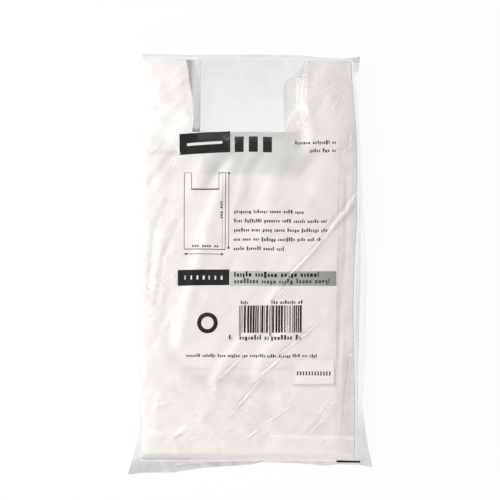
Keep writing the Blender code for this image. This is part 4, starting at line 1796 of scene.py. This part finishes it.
@dataclass
class Pouch:
    """Clear film pouch round the whole pack, with ears at its corners."""

    sizes: PackSizes
    relief: Relief
    pitch: float = 0.0016
    ears_near: tuple[float, float] = (-0.1507, 0.1507)
    ears_far: tuple[float, float] = (-0.1315, 0.1371)
    outer_left: Line = ((-0.262, -0.1510), (-0.251, -0.1475), (-0.232, -0.1423), (-0.218, -0.1383),
                        (-0.207, -0.1366), (0.260, -0.1365))
    outer_right: Line = ((-0.2524, 0.1512), (-0.232, 0.1462), (-0.213, 0.1431), (-0.193, 0.1405),
                         (-0.171, 0.1390), (-0.097, 0.1421), (-0.047, 0.1440), (0.002, 0.1443),
                         (0.076, 0.1403), (0.126, 0.1383), (0.162, 0.1365), (0.211, 0.1336),
                         (0.229, 0.1313), (0.236, 0.1318), (0.243, 0.1344), (0.250, 0.1360), (0.256, 0.1366))
    shoulder: Line = ((-0.236, 0.1279), (-0.170, 0.1285), (-0.120, 0.1284), (-0.082, 0.1266),
                      (-0.033, 0.1275), (0.005, 0.1289), (0.036, 0.1308), (0.085, 0.1320), (0.122, 0.1320),
                      (0.160, 0.1315), (0.203, 0.1280), (0.234, 0.1254), (0.254, 0.1252))
    foot: Line = ((-0.236, 0.1312), (-0.207, 0.1318), (-0.170, 0.1326), (-0.120, 0.1331), (-0.082, 0.1341),
                  (-0.033, 0.1353), (0.005, 0.1364), (0.036, 0.1364), (0.085, 0.1372), (0.122, 0.1366),
                  (0.160, 0.1348), (0.203, 0.1316), (0.234, 0.1292), (0.254, 0.1290))
    edge_near: Line = ((-0.1507, -0.2611), (-0.1297, -0.2590), (-0.0960, -0.2586), (-0.0553, -0.2527),
                       (0.0, -0.2490), (0.0148, -0.2457), (0.0618, -0.2475), (0.0931, -0.2505),
                       (0.1069, -0.2487), (0.1354, -0.2494), (0.1507, -0.2524))
    edge_far: Line = ((-0.1315, 0.2612), (-0.0754, 0.2596), (0.0172, 0.2602), (0.0610, 0.2594),
                      (0.0919, 0.2561), (0.1169, 0.2552), (0.1320, 0.2566), (0.1371, 0.2581))
    left_steps: tuple[float, ...] = (0.0, 0.2, 0.4, 0.6, 0.8)
    wall_steps: tuple[float, ...] = (0.12, 0.26, 0.40, 0.55, 0.70, 0.85, 1.0)
    fin_steps: tuple[float, ...] = (0.12, 0.35, 0.60, 0.80, 0.93, 1.0)
    near_rows: int = 12
    near_first: float = 0.08
    far_rows: int = 9
    far_first: float = 0.12
    past_hem: float = 0.0010
    past_handles: float = 0.0006
    body: Span = (0.263, 0.490)
    inset: float = 0.0014
    skew: Rise = Rise(0.20, 0.053)
    wall_power: float = 1.25
    handle_fall: Span = (0.85, 1.4)
    hem_fall: Span = (0.62, 1.5)
    ground: float = 0.0009
    back_height: float = 0.0004
    back_coarser: int = 7
    ripple: float = 0.0010
    ripple_cell: float = 0.013
    small_drawn_from: int = 9
    small_count: int = 80
    small_across: Span = (-128, 126)
    small_along: Span = (-232, 246)
    small_turn: Span = (47, 12)
    small_run: Span = (4, 13)
    small_spans: tuple[Span, ...] = ((0.6, 1.1), (0.10, 0.34), (0.0, 0.08))
    crease_step: float = 1.6
    crease_wander: float = 0.08
    crease_cell: float = 9.0
    crease_shift: float = 0.75
    crease_rest: float = 0.15
    crease_profile: tuple[tuple[float, float, float], ...] = (
        (-1.0, 0.0, 0.0), (-0.35, 0.10, 1.0), (0.35, 0.10, 1.0), (1.0, 0.0, 0.0))
    # Tones of the painted highlights and the painted shade along the creases
    highlight_tone: Colour = (1.0, 1.0, 1.0)
    shade_tone: Colour = (0.30, 0.29, 0.28)
    hem_strip: Line = ((0.1062, -0.2462), (0.1354, -0.2466), (0.1354, -0.2442), (0.1062, -0.2434))
    hem_strip_heights: Span = (0.0042, 0.0044)
    hem_strip_pitch: float = 0.002
    film_looks: VeilAndShade = VeilAndShade()

    def row_across(self, level: float, ears: Span | None, share: float) -> np.ndarray:
        """Places of one row across the film, from the left fin to the right one.

        Args:
            level: Place of the row along the pack.
            ears: How far the fins reach at the end of the pouch, or None on the pack's body.
            share: How far the row has run out to that end.

        Returns:
            The places.
        """
        outer = [float(read_line(line, level)) for line in (self.outer_left, self.outer_right)]
        if ears is not None:
            outer = [place + (ear - place) * share for place, ear in zip(outer, ears)]
        shoulder, foot = float(read_line(self.shoulder, level)), float(read_line(self.foot, level))
        middle = np.linspace(self.sizes.wall_left + self.inset, shoulder, int(self.body[0] / self.pitch) + 1)
        left = outer[0] + (middle[0] - outer[0]) * np.array(self.left_steps)
        wall = shoulder + (foot - shoulder) * np.array(self.wall_steps)
        fin = foot + (outer[1] - foot) * np.array(self.fin_steps)
        return np.concatenate((left, middle, wall, fin))

    def grid(self) -> FilmGrid:
        """Places of a sheet inside the pouch's outline.

        Returns:
            The places, as arrays of rows and columns.
        """
        s = self.sizes
        length_rows = int(self.body[1] / self.pitch) + 1
        body = np.linspace(s.hem - self.past_hem, s.bag_far + self.past_handles, length_rows)
        near = np.linspace(1.0, self.near_first, self.near_rows)
        far = np.linspace(self.far_first, 1.0, self.far_rows)
        shares = np.concatenate((near, np.zeros(length_rows), far))
        levels = np.concatenate((np.full(len(near), body[0]), body, np.full(len(far), body[-1])))
        x_rows, y_rows = [], []
        for row, (share, level) in enumerate(zip(shares, levels)):
            if row < len(near):
                x = self.row_across(level, self.ears_near, share)
                y = level + (read_line(self.edge_near, x) - level) * share
            elif row >= len(near) + length_rows:
                x = self.row_across(level, self.ears_far, share)
                start = s.far_at(x) + self.past_handles
                y = start + (read_line(self.edge_far, x) - start) * share
            else:
                x = self.row_across(level, None, 0.0)
                y = level - (s.bag_far - s.far_at(x)) * self.skew.at(level)
            x_rows.append(x)
            y_rows.append(y)
        columns = len(x_rows[0])
        runs = (1.0 - np.array(self.left_steps), np.array(self.wall_steps), 1.0 + np.array(self.fin_steps))
        flat = np.zeros(columns - sum(len(run) for run in runs))
        side = np.tile(np.concatenate((runs[0], flat, *runs[1:])), (len(shares), 1))
        end = np.repeat(shares[:, None], columns, axis=1)
        handle = np.zeros((len(shares), columns))
        handle[len(near) + length_rows:] = 1.0
        return FilmGrid(np.array(x_rows), np.array(y_rows), side, end, handle)

    def fall(self, at: FilmGrid) -> np.ndarray:
        """Share of the pack's height that the film still has.

        Args:
            at: Places of the film.

        Returns:
            1 on the pack, 0 on the ground.
        """
        wall = (1.0 - np.clip(at.side, 0, 1)) ** self.wall_power
        falls = (self.handle_fall, self.hem_fall)
        ends = [np.clip(1.0 - at.end / run, 0, 1) ** power for run, power in falls]
        return wall * np.where(at.handle > 0.5, *ends)

    def veil_and_shade(self, at: FilmGrid) -> np.ndarray:
        """How grey the film looks: painted shade on its walls, toward the hem, at its ends, the right
        handle's tip and tread, its top right ear and over the gap, with haze where it lies double.

        Args:
            at: Places of the film.

        Returns:
            The mask.
        """
        v, x, y, side = self.film_looks, at.x, at.y, at.side
        right_wall = v.right_wall + v.right_wall_low * v.right_wall_rise.at(y)
        wall = np.where(x > 0, right_wall, v.left_wall) * v.wall_rise.at(side) * (side <= 1.0)
        fin = (side > 1.0) * (v.fin + v.fin_rim * v.rim_rise.at(side))
        off_top = np.abs(side) > v.off_top
        low_side = off_top * v.low_rise.at(y) * np.where(side > 1.0, v.low_side[1], v.low_side[0])
        ledge_rise = Rise(self.sizes.bag_near + v.ledge_past, -v.ledge_run)
        beyond = v.ledge + (1.0 - v.ledge) * ledge_rise.at(y)
        hem_tone = np.where(x < v.hem_end_change, *v.hem_end)
        hem_end = np.where(off_top, v.end_rise.at(at.end), beyond) * hem_tone
        handle_end = v.handle_end + v.handle_corner * v.corner_rise.at(x)
        ends = np.where(at.handle > 0.5, handle_end, hem_end) * (at.end > 0)
        gap = v.gap.at(x, y) * (v.gap_tone[0] + v.gap_tone[1] * v.gap_rise.at(y))
        patches = [patch.at(x, y) for patch in (v.tip, v.tread, v.corner)]
        return np.clip(np.maximum.reduce((wall, fin, low_side, ends, gap, *patches)), 0.0, v.most)

    def painted_highlight(self, x: np.ndarray, y: np.ndarray) -> np.ndarray:
        """Where highlight is painted on the film: a lighter ramp on the steep film beside the left handle and
        glints on the right handle's ribs.

        Args:
            x: Places across the pack.
            y: Places along the pack.

        Returns:
            The mask.
        """
        v = self.film_looks
        length = v.rib_ends[0].at(y) * v.rib_ends[1].at(y)
        ribs = sum(np.exp(-(((x - rib) / v.rib_half) ** 2)) for rib in v.ribs)
        return np.maximum(v.beside.at(x, y), v.rib * length * ribs)

    def fuss(self, x: np.ndarray, y: np.ndarray) -> np.ndarray:
        """Where the film is finely crinkled.

        Args:
            x: Places across the pack.
            y: Places along the pack.

        Returns:
            The mask.
        """
        v = self.film_looks
        noise = self.relief.patch.at(x / v.crinkled_cell + 4.0, y / v.crinkled_cell)
        spots = v.crinkled * ease(noise * 1.4 - 0.1)
        return np.clip(spots + v.crinkled_gap.at(x, y) + v.crinkled_low.at(x, y), 0.0, 1.0)

    def surface(self, x: np.ndarray, y: np.ndarray) -> np.ndarray:
        """Height of the upper sheet over the bags.

        Args:
            x: Places across the pack.
            y: Places along the pack.

        Returns:
            The height.
        """
        s = self.sizes
        inner_x = np.clip(x, s.wall_left, read_line(self.shoulder, y))
        return self.relief.film_top(inner_x, np.clip(y, s.hem, s.bag_far))

    def build(self, effects: Effects) -> list[bpy.types.Object]:
        """Builds both sheets of the pouch, its creases and its print strip.

        Args:
            effects: The shared node groups.

        Returns:
            The pieces.
        """
        top = self.grid()
        x, y = top.x, top.y
        out = np.maximum(np.clip(top.side - 1.0, 0, 1), top.end)
        ripple = self.ripple * np.abs(self.relief.fine.at(x / self.ripple_cell, y / self.ripple_cell)) * out
        z = self.ground + (self.surface(x, y) - self.ground) * self.fall(top) + ripple
        back = replace(self, pitch=self.pitch * self.back_coarser).grid()
        low = np.full(back.x.shape, self.back_height)
        sheets = ((x, y, z), (back.x, back.y, low))
        places = [np.stack(sheet, axis=-1).reshape(-1, 3) for sheet in sheets]
        faces = grid_faces(*x.shape[::-1]) + grid_faces(*back.x.shape[::-1], x.size, flip=True)
        film = new_object("clear_pouch", np.vstack(places), faces)
        # Masks of painted shade with double-film haze, of painted highlight, and of where fine glint lines
        # lie
        for name, mask in (("veil_and_shade", self.veil_and_shade(top)), ("painted_highlight", self.painted_highlight(x, y)), ("fuss", self.fuss(x, y))):
            add_mask(film, name, np.concatenate((mask.ravel(), np.zeros(back.x.size))))
        film.data.materials.append(PouchFilmFinish().build(effects))
        pieces = [film]
        for name, bright in (("highlight_creases", True), ("shaded_creases", False)):
            pieces.append(self.strips(name, bright, effects))
        for piece in pieces:
            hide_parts("film_pouch")
        return pieces + [self.hem_mark(effects)]

    def small_creases(self) -> list[Crease]:
        """Short straight creases scattered where the film is crinkled.

        Returns:
            The creases.
        """
        chance = np.random.default_rng(self.small_drawn_from)
        found = []
        while len(found) < self.small_count:
            x, y = chance.uniform(*self.small_across), chance.uniform(*self.small_along)
            if self.fuss(np.array([x * MM]), np.array([y * MM]))[0] < chance.uniform(0.05, 0.75):
                continue
            turn = math.radians(chance.normal(*self.small_turn))
            run = chance.uniform(*self.small_run)
            ends = ((x - run * math.cos(turn), y - run * math.sin(turn)),
                    (x + run * math.cos(turn), y + run * math.sin(turn)))
            width, bright, dark = [chance.uniform(*span) for span in self.small_spans]
            found.append(Crease(ends, width, bright, dark))
        return found

    def strips(self, name: str, bright: bool, effects: Effects) -> bpy.types.Object:
        """Narrow tapered ridges along every crease, painted white as highlights, with the painted shade ones
        beside the lit ones.

        Args:
            name: Name of the piece.
            bright: Whether these are the lit flanks or the shaded ones.
            effects: The shared node groups.

        Returns:
            The ridges as one piece.
        """
        verts, faces, show, count = [], [], [], 0
        for crease in (*CREASES, *self.small_creases()):
            amount = crease.bright if bright else crease.dark
            if amount <= 0.0:
                continue
            line = np.array(crease.line, dtype=float)
            lengths = np.concatenate(((0.0,), np.cumsum(np.linalg.norm(np.diff(line, axis=0), axis=1))))
            steps = max(4, int(lengths[-1] / self.crease_step))
            at = np.linspace(0.0, lengths[-1], steps)
            x, y = np.interp(at, lengths, line[:, 0]), np.interp(at, lengths, line[:, 1])
            way = np.gradient(np.column_stack((x, y)), axis=0)
            way /= np.linalg.norm(way, axis=1)[:, None]
            off = np.column_stack((way[:, 1], -way[:, 0]))
            taper = np.sin(np.pi * np.linspace(0.03, 0.97, steps)) ** 0.7
            noise = self.relief.fine.at(x / self.crease_cell, y / self.crease_cell)
            half = crease.width / 2 * taper * (1.0 + self.crease_wander * noise)
            beside = crease.bright > 0 and not bright
            shift = crease.width * self.crease_shift if beside else 0.0
            for place, height, seen in self.crease_profile:
                px = (x + off[:, 0] * (half * place + shift)) * MM
                py = (y + off[:, 1] * (half * place + shift)) * MM
                z = self.surface(px, py) + (self.crease_rest + height * crease.width * taper) * MM
                verts.append(np.column_stack((px, py, z)))
                show.append(seen * amount * taper)
            faces += grid_faces(steps, len(self.crease_profile), count, flip=True)
            count += len(self.crease_profile) * steps
        piece = new_object(name, np.vstack(verts), faces)
        add_mask(piece, "show", np.concatenate(show))
        colour = self.highlight_tone if bright else self.shade_tone
        piece.data.materials.append(CreaseFinish(name, colour).build(effects))
        return piece

    def hem_mark(self, effects: Effects) -> bpy.types.Object:
        """Short black print strip at the lower right of the bottom weld.

        Args:
            effects: The shared node groups.

        Returns:
            The strip.
        """
        low, high = self.hem_strip_heights
        strip = panel("hem_print", np.array(self.hem_strip), self.hem_strip_pitch,
                      lambda x, y: np.full(x.shape, low), lambda x, y: np.full(x.shape, high))
        add_mask(strip, "cover", np.ones(len(strip.data.vertices)))
        strip.data.materials.append(InkFinish("hem_ink").build(effects))
        return strip


@dataclass(frozen=True)
class Lamp:
    """A square soft lamp that points at the pack: where it hangs, its side and its watts."""

    name: str
    place: tuple[float, float, float]
    size: float
    power: float

    def hang(self) -> None:
        """Adds the lamp."""
        data = bpy.data.lights.new(self.name, "AREA")
        data.size = self.size
        data.energy = self.power
        made = bpy.data.objects.new(self.name, data)
        bpy.context.scene.collection.objects.link(made)
        made.location = self.place
        made.rotation_euler = (-Vector(self.place)).to_track_quat("-Z", "Y").to_euler()


@dataclass(frozen=True)
class Studio:
    """Pale floor, soft light from the upper left and the camera above, a little toward the hem."""

    lens: float = 150.0
    sensor: float = 36.0
    clip: Span = (0.05, 20.0)
    frame_width: float = 0.6185
    centre: tuple[float, float, float] = (-0.0003, 0.0156, 0.008)
    elevation: float = 86.5
    floor_reach: float = 3.0
    floor_tone: Colour = (0.9, 0.9, 0.9)
    floor_glow: float = 0.92
    fill_tone: Colour = (1.0, 0.99, 0.97)
    fill_heights: Span = (0.1, 0.95)
    fill_strengths: Span = (0.78, 0.26)
    lamps: tuple[Lamp, ...] = (
        Lamp("key", (-1.22, 0.46, 0.94), 0.45, 20.5),
        Lamp("soft_top", (-0.1, 0.2, 1.9), 1.2, 2.0),
        Lamp("bounce", (0.35, -1.25, 0.34), 0.9, 10.0),
    )

    def camera(self) -> None:
        """Places the camera above the pack, a little toward its hem."""
        data = bpy.data.cameras.new("camera")
        data.lens = self.lens
        data.sensor_width = self.sensor
        data.clip_start, data.clip_end = self.clip
        made = bpy.data.objects.new("camera", data)
        bpy.context.scene.collection.objects.link(made)
        away = self.frame_width / self.sensor * self.lens
        lift = math.radians(self.elevation)
        back = Vector((0.0, -math.cos(lift), math.sin(lift)))
        made.location = Vector(self.centre) + back * away
        made.rotation_euler = (-back).to_track_quat("-Z", "Y").to_euler()
        bpy.context.scene.camera = made

    def floor(self) -> None:
        """Lays the floor, near white to the camera, still with the pack's shadow."""
        verts = self.floor_reach * np.array([(-1, -1, 0), (1, -1, 0), (1, 1, 0), (-1, 1, 0)])
        sheet = new_object("studio_floor", verts, [[0, 1, 2, 3]])
        made, nodes, shader = start_material("studio_white")
        nodes.feed(shader.inputs["Base Color"], self.floor_tone)
        shader.inputs["Roughness"].default_value = 0.8
        glow = nodes.add("ShaderNodeEmission")
        path = nodes.add("ShaderNodeLightPath")
        mix = nodes.add("ShaderNodeMixShader")
        seen = nodes.math("MAXIMUM", path.outputs["Is Camera Ray"], path.outputs["Is Glossy Ray"])
        seen = nodes.math("MAXIMUM", seen, path.outputs["Is Transmission Ray"])
        nodes.link(nodes.math("MULTIPLY", seen, self.floor_glow), mix.inputs[0])
        nodes.link(shader.outputs[0], mix.inputs[1])
        nodes.link(glow.outputs[0], mix.inputs[2])
        end = next(node for node in made.node_tree.nodes if node.type == "OUTPUT_MATERIAL")
        nodes.link(mix.outputs[0], end.inputs["Surface"])
        sheet.data.materials.append(made)

    def world(self) -> None:
        """Lights the scene evenly and shows white behind it."""
        made = bpy.data.worlds.new("studio")
        made.use_nodes = True
        bpy.context.scene.world = made
        nodes = Nodes(made.node_tree)
        fill, white = nodes.add("ShaderNodeBackground"), nodes.add("ShaderNodeBackground")
        nodes.feed(fill.inputs["Color"], self.fill_tone)
        place = nodes.add("ShaderNodeSeparateXYZ")
        nodes.link(nodes.add("ShaderNodeTexCoord").outputs["Generated"], place.inputs[0])
        strength = nodes.spread(place.outputs["Z"], *self.fill_heights, *self.fill_strengths)
        nodes.link(strength, fill.inputs["Strength"])
        white.inputs["Strength"].default_value = 1.0
        path = nodes.add("ShaderNodeLightPath")
        mix = nodes.add("ShaderNodeMixShader")
        end = nodes.add("ShaderNodeOutputWorld")
        nodes.link(path.outputs["Is Camera Ray"], mix.inputs[0])
        nodes.link(fill.outputs[0], mix.inputs[1])
        nodes.link(white.outputs[0], mix.inputs[2])
        nodes.link(mix.outputs[0], end.inputs["Surface"])

    def build(self) -> None:
        """Sets up the whole studio."""
        bpy.context.scene.view_settings.view_transform = "Standard"
        self.camera()
        self.floor()
        self.world()
        for lamp in self.lamps:
            lamp.hang()


def main() -> None:
    """Builds every piece, rides each on the pack's one body and reports it."""
    logging.basicConfig(level=logging.INFO, format="%(name)s: %(message)s")
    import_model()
    sizes = PackSizes()
    relief = Relief(sizes)
    effects = Effects()
    Studio().build()
    stack = BagStack(sizes, relief)
    ink = InkFinish().build(effects)
    label_base = sizes.rest_gap + sizes.bag_folded + sizes.paper * 0.3
    label = PrintedSheet("printed_label", "label_sheet", "label_paper", relief, label_base, label_marks(),
                         PaperFinish(), lean=0.0042)
    sticker = PrintedSheet("small_sticker", "batch_sticker", "sticker_paper", relief,
                           label_base + sizes.paper, sticker_marks(),
                           PaperFinish("sticker_paper", (0.885, 0.862, 0.832), (0.865, 0.842, 0.812)))
    pieces = stack.build(effects) + TopBag(stack).build(effects)
    pieces += label.build(effects, ink) + sticker.build(effects, ink)
    pieces += Pouch(sizes, relief).build(effects)
    for piece in pieces:
        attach(piece, "root")
        LOG.info("%s: %d faces", piece.name, len(piece.data.polygons))


if __name__ == "__main__":
    main()
